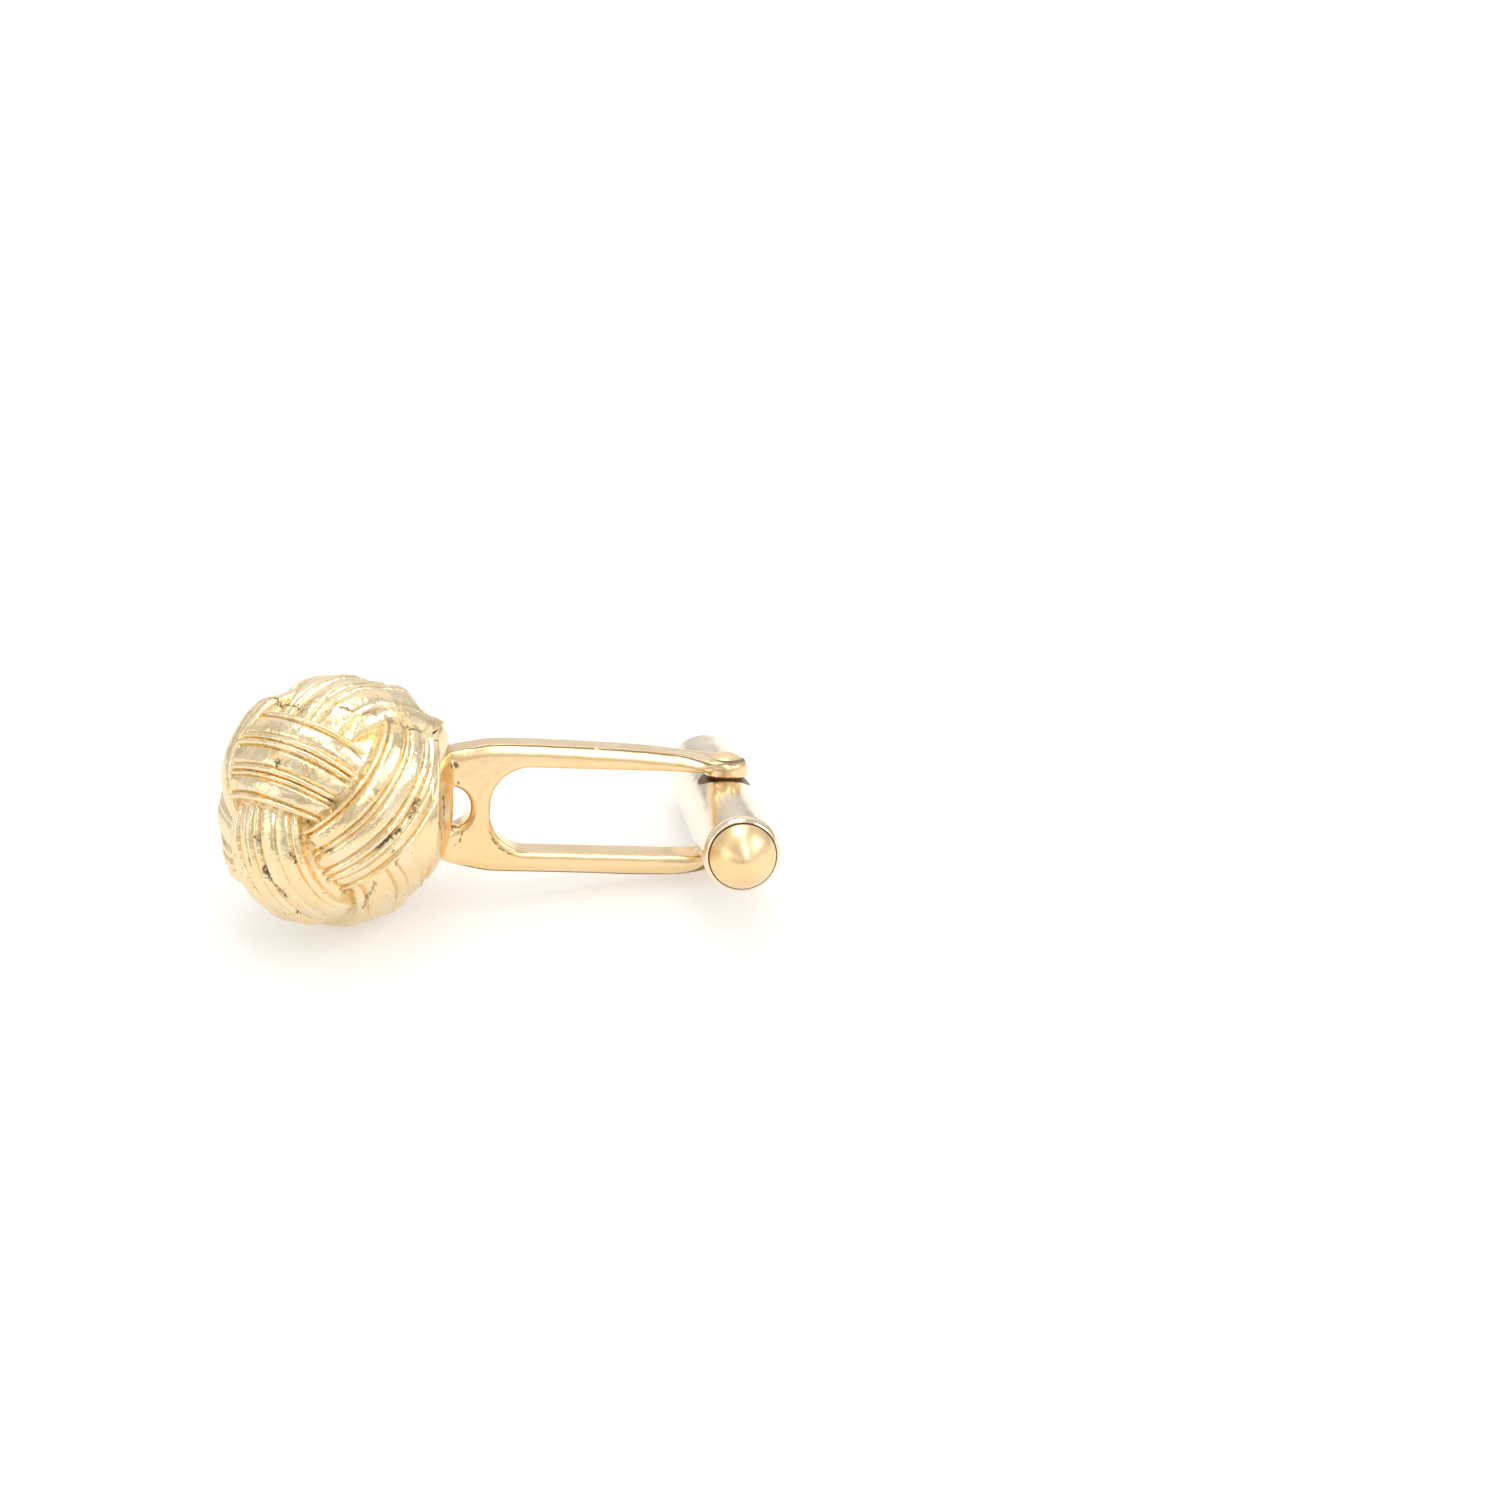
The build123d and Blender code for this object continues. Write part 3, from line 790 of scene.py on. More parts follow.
def bar_surface(name, base, sinks, film, blur, colours):
    """Polished metal under a clear film, with faint waves, fine scratches, dark seams and painted
    shade on the flats under the ears.
    """
    surface = Surface(name)
    place = surface.place()
    post, bar, pin = surface.link_axes(place)
    patches = surface.noise(place, "bar patches").rise(0.4, 0.65)
    scratches = surface.noise(place, "scratches")
    seam = 1 - (bar.size() - CAP_SEAM_PLACE).size().rise(0.034, 0.046)
    from_pin = (post * post + bar * bar) ** 0.5
    # Painted shade on the flat under each ear, weighted by sinks.
    flat_shade = (1 - from_pin.rise(*FLAT_EDGE)) * sinks
    joint = 1 - (pin - TUBE_JOINT_HEIGHT).size().rise(0.012, 0.03)
    joint = joint * post.rise(1.7, 1.8) * (1 - bar.rise(0.4, 0.6)) * bar.rise(-8.0, -7.6)
    dark = (seam + flat_shade * 0.9 + joint * 0.8).clamp()
    metal = surface.layered(base, (patches * 0.3, colours.pale_gold), (dark, colours.mark))
    waves = surface.noise(place, "bar waves")
    normal = surface.bumps((waves, 0.04, 0.8), (scratches, 0.003, 0.6))
    roughness = blur + patches * 0.05 + scratches.rise(0.55, 0.8) * 0.1 + dark * 0.4
    return surface.finish(
        Base_Color=metal, Metallic=1 - dark * 0.8, Roughness=roughness, Normal=normal,
        Coat_Weight=(1 - dark) * film, Coat_IOR=FILM_INDEX, Coat_Roughness=blur,
    )


def tube_gold(colours):
    # The tube's paler colour is a painted sheen.
    base = colours.bar_gold
    return bar_surface("tube_gold", base, sinks=1.0, film=0.72, blur=0.12, colours=colours)


def cap_gold(colours):
    base = colours.rose_gold
    return bar_surface("cap_gold", base, sinks=0.0, film=0.3, blur=0.27, colours=colours)


def made_finish(finish):
    """The material of a finish, made the first time it is asked for."""
    made = bpy.data.materials.get(finish.__name__)
    return made or finish(bpy.context.scene.cufflink_colours)


# The woven ball.


# Hollow slope below a band's side, down to the metal between the bands.
SKIRT = [
    # (degrees beyond the side, millimetres below the band's middle, how dark)
    (0.3, 0.28, 0.5), (1.0, 0.4, 0.8), (2.2, 0.5, 0.9), (4.0, 0.58, 0.8), (7.0, 0.64, 0.6),
    (11.0, 0.68, 0.6), (11.5, 1.3, 1.0),
]
# The top band's smooth outer strand runs on towards the neighbour that it covers.
SMOOTH_EDGED = (2, -1)
SMOOTH_SKIRT = [
    (1.0, -0.12, 0.0), (2.5, -0.12, 0.0), (4.5, -0.06, 0.0), (6.5, 0.06, 0.1), (8.0, 0.22, 0.3),
    (9.0, 0.38, 0.7), (10.5, 0.52, 0.9), (13.0, 0.6, 0.7), (16.0, 0.66, 0.6), (16.5, 1.3, 1.0),
]

# Where the casting stands above or below a true ball.
SWELLS = [
    # (direction in the link frame, degrees to its edge, millimetres)
    ((-0.99, 0.0, -0.06), 62.0, -0.5),
    ((-0.844, -0.02, -0.536), 24.0, 0.4),
    ((-0.977, 0.09, -0.195), 13.0, 0.22),
    ((-0.785, -0.05, -0.617), 10.0, 0.22),
    ((-0.984, 0.13, 0.05), 9.0, -0.32),
    ((-0.921, 0.358, -0.012), 9.0, -0.3),
    ((-0.988, -0.106, 0.109), 9.0, -0.25),
    ((-0.458, 0.285, 0.842), 13.0, -0.32),
    ((-0.402, 0.538, 0.74), 13.0, -0.3),
    ((-0.478, 0.01, 0.878), 11.0, -0.25),
    ((0.042, 0.246, 0.968), 8.0, -0.2),
    ((0.28, 0.205, 0.938), 11.0, -0.48),
    ((0.472, 0.159, 0.867), 14.0, 0.26),
    ((0.693, 0.088, 0.716), 10.0, -0.3),
    ((0.785, 0.049, 0.618), 14.0, 0.34),
    ((0.76, -0.26, -0.58), 42.0, -0.28),
    ((-0.55, -0.1, -0.8), 45.0, 0.1),
]


def swell(ray):
    """How far the casting stands above a true ball in that direction."""
    total = 0.0
    for direction, reach, height in SWELLS:
        apart = math.degrees(ray.angle(Vector(direction)))
        if apart < reach:
            total += height * MM * (0.5 + 0.5 * math.cos(math.pi * apart / reach))
    return total


def side_angle(patch, sign, towards):
    return math.radians(SIDES[(patch % 3, sign)][0 if towards > 0 else 1])


# Share of its band above which a strand is wide, and how far all lie below the ball, in mm.
WIDE_FROM = 0.11
GROOVE_FLOOR = 0.05
STRAND_KINDS = {
    # wide: (size of its relief, steps across it, squareness of its crown)
    True: ("relief", 16, 2.8), False: ("rim_relief", 10, 2.1),
}


def skirt_rows(skirt, sizes):
    return [(math.radians(out), sizes.radius - drop * MM, deep) for out, drop, deep in skirt]


def strand_profile(key, sizes):
    """Places across a band, each as (angle, radius, depth in the groove, share of the width)."""
    patch, sign = key
    high, low = side_angle(patch, sign, 1), -side_angle(patch, sign, -1)
    below = reversed(skirt_rows(SKIRT, sizes))
    beyond = skirt_rows(SMOOTH_SKIRT if key == SMOOTH_EDGED else SKIRT, sizes)
    rows = [(low - out, radius, deep, 0.0) for out, radius, deep in below]
    start = 0.0
    for width, height in STRANDS[key]:
        kind, steps, squareness = STRAND_KINDS[width > WIDE_FROM]
        relief = height * getattr(sizes, kind)
        # The last strand takes its far edge too.
        for step in range(steps + (start + width > 0.999)):
            over = min(1.0, abs(2 * step / steps - 1) * (1 + sizes.groove_share))
            crown = (1 - over**squareness) ** (1 / squareness)
            share = start + width * step / steps
            side = abs(2 * share - 1)
            radius = sizes.radius - sizes.edge_drop * side**4 + relief * crown
            place = low + (high - low) * share
            rows.append((place, radius - GROOVE_FLOOR * MM, 1 - crown, share))
        start += width
    return rows + [(high + out, radius, deep, 1.0) for out, radius, deep in beyond]


# How far a band's ends run on under its neighbours, and the steps along the band.
SPREAD = math.radians(15)
STEPS_ALONG = 92


def weave_band(key, centre, sizes):
    """One patch of a band: a strip of strands, spun round its axis, its ends tucked under."""
    patch, sign = key
    middle, ahead, beside = AXES[patch] * sign, AXES[(patch + 1) % 3], AXES[(patch + 2) % 3]
    fore = math.sin(side_angle((patch + 1) % 3, 1, sign))
    aft = math.sin(side_angle((patch + 1) % 3, -1, sign))
    front, back = math.acos(fore) + SPREAD, math.acos(aft) + SPREAD
    start = middle * math.cos(back) - ahead * math.sin(back)
    rows = strand_profile(key, sizes)
    points = [centre + (start * math.cos(a) + beside * math.sin(a)) * r for a, r, _, _ in rows]
    strip = draw_line(f"band_{patch}", points)
    # The spin's axis is the band's own, and it goes from the aft end through the middle.
    turning = -beside if middle.cross(ahead).dot(beside) > 0 else beside
    edit_whole(strip, FILL, spun(centre, turning, front + back, STEPS_ALONG), OUTWARD)
    tuck_ends(strip, centre, sizes, (middle, ahead, beside), (fore, aft), rows)
    return strip


# Right edge of the smooth strand that crosses the first band's front end.
CROSS_EDGE = [
    # (degrees along it, degrees from the first band's middle)
    (-34.0, 2.0), (-20.0, 3.0), (-8.0, 4.5), (2.0, 7.0), (9.0, 10.0), (20.0, 11.5), (32.0, 10.5),
    (48.0, 9.0),
]
CROSS_PROFILE = [
    # (degrees from its edge, millimetres above the ball, how dark)
    (-1.2, -0.6, 1.0), (-0.2, -0.25, 0.9), (0.2, 0.1, 0.6), (1.2, 0.22, 0.1), (3.0, 0.3, 0.0),
    (6.0, 0.34, 0.0), (10.0, 0.3, 0.0), (15.0, 0.2, 0.0), (19.0, 0.08, 0.1), (20.5, -0.05, 0.6),
    (22.0, 0.02, 0.2), (25.0, 0.02, 0.0), (28.5, -0.1, 0.2), (30.0, -0.3, 0.8), (31.0, -0.9, 1.0),
]


# Its lumps and thickness in millimetres, and the share of its length in which its back dives.
CROSS_LUMPS = 0.03
CROSS_THICKNESS = 0.5
CROSS_BACK_SHARE = 0.75
# Degrees over which the darkness of the profile's rows is averaged.
DEPTH_REACH = 1.6


def cross_strand(centre, sizes):
    """The smooth strand over the front end of the first band, laid as a grid and thickened."""
    along_curve = smooth_curve(CROSS_EDGE, 8)
    across_curve = smooth_curve([(out, high) for out, high, _ in CROSS_PROFILE], 3)
    columns, rows = len(along_curve) - 1, len(across_curve) - 1
    deselect_all()
    bpy.ops.mesh.primitive_grid_add(x_subdivisions=columns, y_subdivisions=rows, size=MM)
    strand = bpy.context.object
    strand.name = "cross_strand"
    groove = strand.data.attributes.new("groove", "FLOAT", "POINT")
    strand.data.attributes.new("tuck", "FLOAT", "POINT")
    last = math.radians(along_curve[-1][0])
    for vertex in strand.data.vertices:
        along, edge = along_curve[round((vertex.co.x / MM + 0.5) * columns)]
        out, high = across_curve[round((vertex.co.y / MM + 0.5) * rows)]
        along, across = math.radians(along), math.radians(edge + out)
        flat = AXES[0] * math.cos(along) + AXES[2] * math.sin(along)
        ray = flat * math.cos(across) - AXES[1] * math.sin(across)
        fall = sizes.dive * abs(along / (last if along > 0 else CROSS_BACK_SHARE * last)) ** 3
        lump = CROSS_LUMPS * noise.noise(ray * 4.0)
        vertex.co = centre + ray * (sizes.radius + (high + lump) * MM - fall + swell(ray))
        depths = [deep for o, _, deep in CROSS_PROFILE if abs(o - out) < DEPTH_REACH]
        groove.data[vertex.index].value = sum(depths) / len(depths) if depths else 0.0
    edit_whole(strand, OUTWARD)
    if sum(f.normal.dot(f.center - centre) for f in strand.data.polygons) < 0:
        strand.data.flip_normals()
    apply_modifier(strand, "SOLIDIFY", thickness=CROSS_THICKNESS * MM, offset=-1)
    return strand


# The casting's unevenness: (steps in a millimetre, seed, share of the full height).
LUMPS = [(0.55, Vector((7, 1, 4)), 1.0), (1.9, Vector((2, 9, 5)), 0.35)]
# Shares of a band's length: where its end starts to be tucked under, and how far its sink goes on.
TUCK_START = 0.86
SINK_END = 1.25
# Degrees over which a strand's wandering dies out towards a band's sides.
STEADY_SIDE = 3


def tuck_ends(strip, centre, sizes, axes, ends, rows):
    """Sinks the ends of a band under its neighbours, and gives the strands a hand-made line."""
    middle, ahead, beside = axes
    fore, aft = ends
    low, high = rows[0][0], rows[-1][0]
    groove = strip.data.attributes.new("groove", "FLOAT", "POINT")
    tuck = strip.data.attributes.new("tuck", "FLOAT", "POINT")
    depths = {(round(a, 5), round(radius / MM, 3)): depth for a, radius, depth, _ in rows}
    for vertex in strip.data.vertices:
        offset = vertex.co - centre
        radius = offset.length
        across = math.asin(max(-1.0, min(1.0, offset.dot(beside) / radius)))
        along = math.atan2(offset.dot(ahead), offset.dot(middle))
        depth = depths.get((round(across, 5), round(radius / MM, 3)), 0.5)
        reach = math.acos(min(1.0, (fore if along > 0 else aft) / math.cos(across)))
        place = abs(along) / max(reach, 0.2)
        sink = sizes.dive * min(place, SINK_END) ** 3
        inside = min(1.0, min(across - low, high - across) / math.radians(STEADY_SIDE))
        wander = noise.noise(Vector((along * 2.2, across * 6.0, 3.7 + 5 * middle.x))) * inside
        across += wander * sizes.wander
        flat = middle * math.cos(along) + ahead * math.sin(along)
        ray = flat * math.cos(across) + beside * math.sin(across)
        spot = ray * (radius / MM)
        lumps = sum(share * noise.noise(spot * steps + seed) for steps, seed, share in LUMPS)
        radius += sizes.unevenness * lumps - sink + swell(ray)
        vertex.co = centre + ray * radius
        groove.data[vertex.index].value = depth
        # The tuck share also places the painted shade at the band's tucked ends.
        tuck.data[vertex.index].value = between(place, TUCK_START, 1.0)


class CUFFLINK_OT_bands(bpy.types.Operator):
    """Weaves the ball's three bands, each seen on both sides of the ball"""

    bl_idname = "cufflink.bands"
    bl_label = "Woven bands"

    def execute(self, context):
        sizes = context.scene.cufflink_knot
        centre = knot_centre()
        for patch, name in enumerate(("band_first", "band_second", "band_third")):
            strips = [weave_band((patch, sign), centre, sizes) for sign in (1, -1)]
            for strip in strips:
                cut(strip, dome_seat(sizes))
            if patch == 1:
                strips.append(cross_strand(centre, sizes))
            band = join(name, strips)
            smooth(band, 50)
            dress(band, woven_gold, "link", "cast_gold", "knot_head_and_fork")
        core = turned_core(sizes, centre)
        dress(core, core_gold, "link", "cast_gold", "knot_head_and_fork")
        return {"FINISHED"}


# Depth of the seat below the dome's top, and how far its tool reaches, in millimetres.
SEAT_DEPTH = 2.4
SEAT_BACK = 10.0


def dome_seat(sizes):
    """The round room that the dome takes in the back of the ball."""
    wall, floor, back = sizes.plate_radius, -sizes.plate_apex - SEAT_DEPTH * MM, -SEAT_BACK * MM
    return turn("seat", [(0, floor), (wall, floor), (wall, back), (0, back)], "X", 128)


# Height of the core's lumps, as a share of its radius.
CORE_LUMPS = 0.02


def turned_core(sizes, centre):
    """The dull ball that shows between the bands."""
    add = bpy.ops.mesh.primitive_ico_sphere_add
    core = solid("weave_core", add, centre, subdivisions=5, radius=sizes.core)
    for vertex in core.data.vertices:
        offset = vertex.co - centre
        lump = noise.noise(offset / MM * 1.3)
        vertex.co = centre + offset * (1 + CORE_LUMPS * lump)
    smooth(core, 60)
    return core


# The dome and the fork.


# Half outline of the dome: nearly flat where the fork stands, then round like the ball.
DOME_CURVE = [
    # (millimetres from the ball's centre along the post, radius)
    (6.05, 0.0), (6.04, 1.1), (6.02, 1.8), (5.96, 2.4), (5.83, 2.9), (5.56, 3.45), (5.27, 3.9),
    (5.07, 4.16),
]


# The dome's rounded lip, as (drop, inset), and its hidden foot in the seat, in millimetres.
DOME_LIP = [(0.02, 0.01), (0.05, 0.0)]
FOOT_STEP = 0.3
FOOT_DEPTH = 1.6


def dome_outline(sizes):
    """Half outline of the dome as (radius, place on the post), from its top to its back."""
    centre = knot_centre().x
    rows = [(centre + high * MM, radius * MM) for high, radius in DOME_CURVE]
    *skin, (edge, rim) = smooth_curve(rows, 6)
    skin += [(edge - drop * MM, rim - inset * MM) for drop, inset in DOME_LIP]
    floor, wall = edge - FOOT_STEP * MM, sizes.plate_radius + FOOT_STEP * MM
    back = floor - FOOT_DEPTH * MM
    foot = [(floor, rim), (floor, wall), (back, wall), (back, 0)]
    return [(radius, place) for place, radius in skin + foot]


class CUFFLINK_OT_dome(bpy.types.Operator):
    """Turns the smooth dome that closes the back of the ball"""

    bl_idname = "cufflink.dome"
    bl_label = "Back dome"

    def execute(self, context):
        outline = dome_outline(context.scene.cufflink_knot)
        dome = turn("back_dome", outline, "X", context.scene.cufflink_bar.turns)
        centre = knot_centre()
        for vertex in dome.data.vertices:
            ray = (vertex.co - centre).normalized()
            vertex.co += ray * swell(ray)
        smooth(dome, 35)
        dress(dome, dome_gold, "link", "cast_gold", "knot_head_and_fork")
        return {"FINISHED"}


# Side edges of the fork, in millimetres.
FORK_EDGE = [
    # (distance from the pin along the post, height of the upper edge, depth of the lower edge)
    (15.65, 2.66, 2.66), (14.9, 2.8, 2.78), (14.2, 3.06, 3.0), (12.9, 3.37, 3.3),
    (11.8, 3.48, 3.41), (8.6, 3.47, 3.4), (4.5, 3.33, 3.42), (2.4, 3.13, 3.34),
    (1.2, 2.97, 3.12), (0.0, 2.88, 2.88),
]

# Solder where the fork stands on the dome, in millimetres of the link frame.
SOLDER_BEADS = [
    # (place, size along the post, along the bar, along the pin)
    ((-14.38, -0.62, 1.75), (0.34, 0.42, 0.7)),
    ((-14.36, -0.64, -1.8), (0.36, 0.42, 0.85)),
    ((-14.18, -0.6, -1.12), (0.26, 0.42, 0.2)),
    ((-14.38, 0.64, 1.8), (0.34, 0.42, 0.7)),
    ((-14.38, 0.64, -1.8), (0.36, 0.42, 0.75)),
]


def fork_edges():
    """The upper and the lower side edge of the fork as (place on the post, height)."""
    upper = smooth_curve([(-reach * MM, above * MM) for reach, above, _ in FORK_EDGE], 4)
    lower = smooth_curve([(-reach * MM, -below * MM) for reach, _, below in FORK_EDGE], 4)
    return upper, lower


# How far the tools that cut the slot and the root hole reach, in millimetres on the post.
SLOT_OPEN_END = 3.0
HOLE_OPEN_END = -17.0


def fork_flat(sizes):
    """The fork's side shape, with its slot and the small hole at its root cut out."""
    upper, lower = fork_edges()
    fork = slab("fork", upper + lower[::-1], sizes.width)
    half, corner = sizes.slot_height / 2, sizes.slot_end_radius
    bend = (corner - sizes.slot_reach, half - corner)
    slot = [(SLOT_OPEN_END * MM, half)] + arc(bend, corner, 90, 180, 14)
    half, corner = sizes.hole_height / 2, sizes.hole_corner
    bend = (-sizes.slot_reach - sizes.web - corner, half - corner)
    hole = [(HOLE_OPEN_END * MM, half)] + arc(bend, corner, 90, 0, 10)
    for name, outline in (("slot", slot), ("hole", hole)):
        mirrored = [(x, -z) for x, z in reversed(outline)]
        cut(fork, slab(name, outline + mirrored, 3 * sizes.width))
    return fork


# Sizes of an ear, in millimetres.
EAR_UNDERSIDE = 1.9
EAR_LOWER_EDGE = 0.2
EAR_UPPER_EDGE = 0.42


def upper_ear(sizes):
    """The round ear over the bar, turned about the pin, with a soft upper edge."""
    radius, top, under = sizes.ear_radius, sizes.ear_height / 2, EAR_UNDERSIDE * MM
    edge, soft = EAR_LOWER_EDGE * MM, EAR_UPPER_EDGE * MM
    outline = [(0, under), (radius - edge, under), (radius, under + edge)]
    outline += arc((radius - soft, top - soft), soft, 0, 90, 8) + [(0, top)]
    return turn("ear", outline, "Z", 64)


# A foot of the fork, in millimetres: its place on the post, its size along post, bar and pin,
# and the bevel of its edges.
FOOT_PLACE = -14.88
FOOT_SIZE = (1.5, 2.3, 1.5)
FOOT_EDGE = 0.45


def upper_foot(sizes):
    """The wider block where the upper arm stands on the dome."""
    middle = (FOOT_PLACE * MM, 0, sizes.root_height / 2 - FOOT_SIZE[2] / 2 * MM)
    stretch = tuple(side * MM for side in FOOT_SIZE)
    foot = solid("foot", bpy.ops.mesh.primitive_cube_add, middle, stretch, size=1)
    edit_whole(foot, (bpy.ops.mesh.bevel, {"offset": FOOT_EDGE * MM, "segments": 4}))
    return foot


def solder_bead(place, size):
    add = bpy.ops.mesh.primitive_ico_sphere_add
    return solid("bead", add, Vector(place) * MM, size, subdivisions=3, radius=MM)


def between(value, low, high):
    """How far a value lies from low to high, as a share from 0 to 1."""
    return max(0.0, min(1.0, (value - low) / (high - low)))


def level_at(edge, x):
    """Height of a side edge at that place on the post."""
    for (x0, z0), (x1, z1) in zip(edge, edge[1:]):
        if x <= x1:
            return z0 + (z1 - z0) * between(x, x0, x1)
    return edge[-1][1]


def outside(x, z, left, right, half, corner):
    """How far a place lies outside a rounded opening."""
    over = abs(x - (left + right) / 2) - (right - left) / 2 + corner
    up = abs(z) - half + corner
    return math.hypot(max(over, 0.0), max(up, 0.0)) + min(max(over, up), 0.0) - corner


# How the flanks fall away towards their edges, in millimetres.
FLANK_FALL = {
    # edge: (how far it reaches into the flank, how deep it is at the edge)
    "side": (0.52, 0.25), "opening": (0.26, 0.11),
}


def fall(kind, distance):
    reach, deep = FLANK_FALL[kind]
    return deep * MM * (1 - between(distance, 0.0, reach * MM)) ** 1.3


# Stretches of the post over which the flanks change, in millimetres from the pin.
ROOT_STRETCH = (-13.2, -14.4)
FLARE_STRETCH = (-3.4, -0.6)
EAR_STRETCH = (-1.6, -0.4)
# Shares: how much wider the fork is made, how far its ends flare, what the root's sides lose.
WIDENING = 1.03
FLARE = 0.24
ROOT_LOSS = 0.6


def on_stretch(x, stretch):
    """How far a place lies through a stretch of the post, as a share from 0 to 1."""
    return between(x, stretch[0] * MM, stretch[1] * MM)


def round_flanks(fork, sizes):
    """Lets the flanks fall away towards edges and openings, and widens the ears' ends."""
    upper, lower = fork_edges()
    mouth = -sizes.slot_reach - sizes.web
    slot = (-sizes.slot_reach, 9 * MM, sizes.slot_height / 2, sizes.slot_end_radius)
    hole = (HOLE_OPEN_END * MM, mouth, sizes.hole_height / 2, sizes.hole_corner)
    for vertex in fork.data.vertices:
        x, y, z = vertex.co
        edge = level_at(upper, x) - z if z > 0 else z - level_at(lower, x)
        pull = fall("side", edge) * (1 - ROOT_LOSS * on_stretch(x, ROOT_STRETCH))
        for opening in (slot, hole):
            pull += fall("opening", outside(x, z, *opening))
        at_ear = on_stretch(x, FLARE_STRETCH)
        at_ear *= at_ear * (3 - 2 * at_ear)
        on_arm = 1 - on_stretch(x, EAR_STRETCH)
        flare = FLARE * at_ear * on_arm
        vertex.co.y = y * (WIDENING + flare - pull * on_arm / (sizes.width / 2))


class CUFFLINK_OT_fork(bpy.types.Operator):
    """Cuts the fork from the side, adds ears, feet and solder, and rounds it as one piece"""

    bl_idname = "cufflink.fork"
    bl_label = "Fork"

    def execute(self, context):
        sizes = context.scene.cufflink_fork
        ends = join("ends", [upper_ear(sizes), upper_foot(sizes)])
        apply_modifier(ends, "MIRROR", use_axis=(False, False, True), use_mirror_merge=False)
        beads = [solder_bead(place, size) for place, size in SOLDER_BEADS]
        fork = join("fork", [fork_flat(sizes), ends, *beads])
        apply_modifier(fork, "REMESH", mode="VOXEL", voxel_size=sizes.grain)
        round_flanks(fork, sizes)
        apply_modifier(fork, "SMOOTH", factor=0.5, iterations=8)
        smooth(fork, 60)
        dress(fork, fork_gold, "link", "cast_gold", "knot_head_and_fork")
        return {"FINISHED"}


# The bar and its pin.


# Room between the pin's heads and the ears, and round its shank in the tube, in millimetres.
HEAD_ROOM = 0.02
SHANK_ROOM = 0.05


class CUFFLINK_OT_pin(bpy.types.Operator):
    """Turns the pin with a low domed head on each ear"""

    bl_idname = "cufflink.pin"
    bl_label = "Pivot pin"

    def execute(self, context):
        sizes = context.scene.cufflink_bar
        base = context.scene.cufflink_fork.ear_height / 2 + HEAD_ROOM * MM
        radius, height = sizes.pin_head_radius, sizes.pin_head_height
        curve = (radius**2 + height**2) / (2 * height)
        lean = math.degrees(math.asin(radius / curve))
        upper = [(sizes.pin_radius, base)]
        upper += arc((0, base + height - curve), curve, 90 - lean, 90, 12)[:-1]
        upper.append((0, base + height))
        outline = [(r, -z) for r, z in reversed(upper)] + upper
        pin = turn("pivot_pin_headed", outline, "Z", 64)
        smooth(pin, 35)
        dress(pin, cap_gold, "link", "polished_gold", "pivot_pin")
        return {"FINISHED"}


# Rings of the tube between its middle and its shoulder, in millimetres along the bar.
TUBE_RINGS = (0.0, 1.6, 3.0, 5.0)
# How far the tools that cut the tube reach from the bar's axis, in millimetres.
CUT_REACH = 3.0


def tube_ring(sizes):
    """Outline of the tube's wall as (radius, place along the bar)."""
    half, corner = sizes.length / 2, sizes.length / 2 - sizes.shoulder
    mouth = tangent_arc((sizes.radius, corner), (0, 1), (sizes.mouth_radius, half), 8)
    upper = [(sizes.radius, y * MM) for y in TUBE_RINGS] + mouth + [(sizes.bore, half)]
    return [(r, -y) for r, y in reversed(upper[1:])] + upper


class CUFFLINK_OT_bar(bpy.types.Operator):
    """Turns the bar's tube, then sinks a flat under each ear and drills it for the pin"""

    bl_idname = "cufflink.bar"
    bl_label = "Bar tube"

    def execute(self, context):
        sizes = context.scene.cufflink_bar
        ring = tube_ring(sizes)
        tube = turn("bar_tube_turned", ring + ring[:1], "Y", sizes.turns)
        flat, rim, reach = sizes.radius - sizes.spot_depth, sizes.spot_radius, CUT_REACH * MM
        for sign in (1, -1):
            edge = [(0, flat), (rim, flat), (rim, reach), (0, reach)]
            cut(tube, turn("seat", [(r, z * sign) for r, z in edge], "Z", 64))
        hole = sizes.pin_radius + SHANK_ROOM * MM
        edge = [(0, -reach), (hole, -reach), (hole, reach), (0, reach)]
        cut(tube, turn("drill", edge, "Z", 48))
        smooth(tube, 25)
        dress(tube, tube_gold, "toggle", "polished_gold", "bar_tube")
        return {"FINISHED"}


# Angle in degrees through which a cap's rounded tip turns before its side begins.
CAP_TIP_TURN = 22.0
# A cap's small foot and its hidden plug, in millimetres.
CAP_FOOT = 0.04
PLUG_ROOM = 0.03
PLUG_LENGTH = 0.9


def cap_outline(sizes):
    """Half outline of a cap as (radius, place along the bar), from its tip to its plug."""
    base = sizes.length / 2 + sizes.cap_seam
    tip = base + sizes.cap_height
    nose = arc((0, tip - sizes.cap_tip), sizes.cap_tip, 90, 90 - CAP_TIP_TURN, 5)
    heading = (math.cos(math.radians(CAP_TIP_TURN)), -math.sin(math.radians(CAP_TIP_TURN)))
    side = tangent_arc(nose[-1], heading, (sizes.cap_radius, base + CAP_FOOT * MM), 30)
    plug, end = sizes.bore - PLUG_ROOM * MM, base - PLUG_LENGTH * MM
    foot = [(sizes.cap_radius - CAP_FOOT * MM, base), (plug, base), (plug, end), (0, end)]
    return nose[:-1] + side + foot


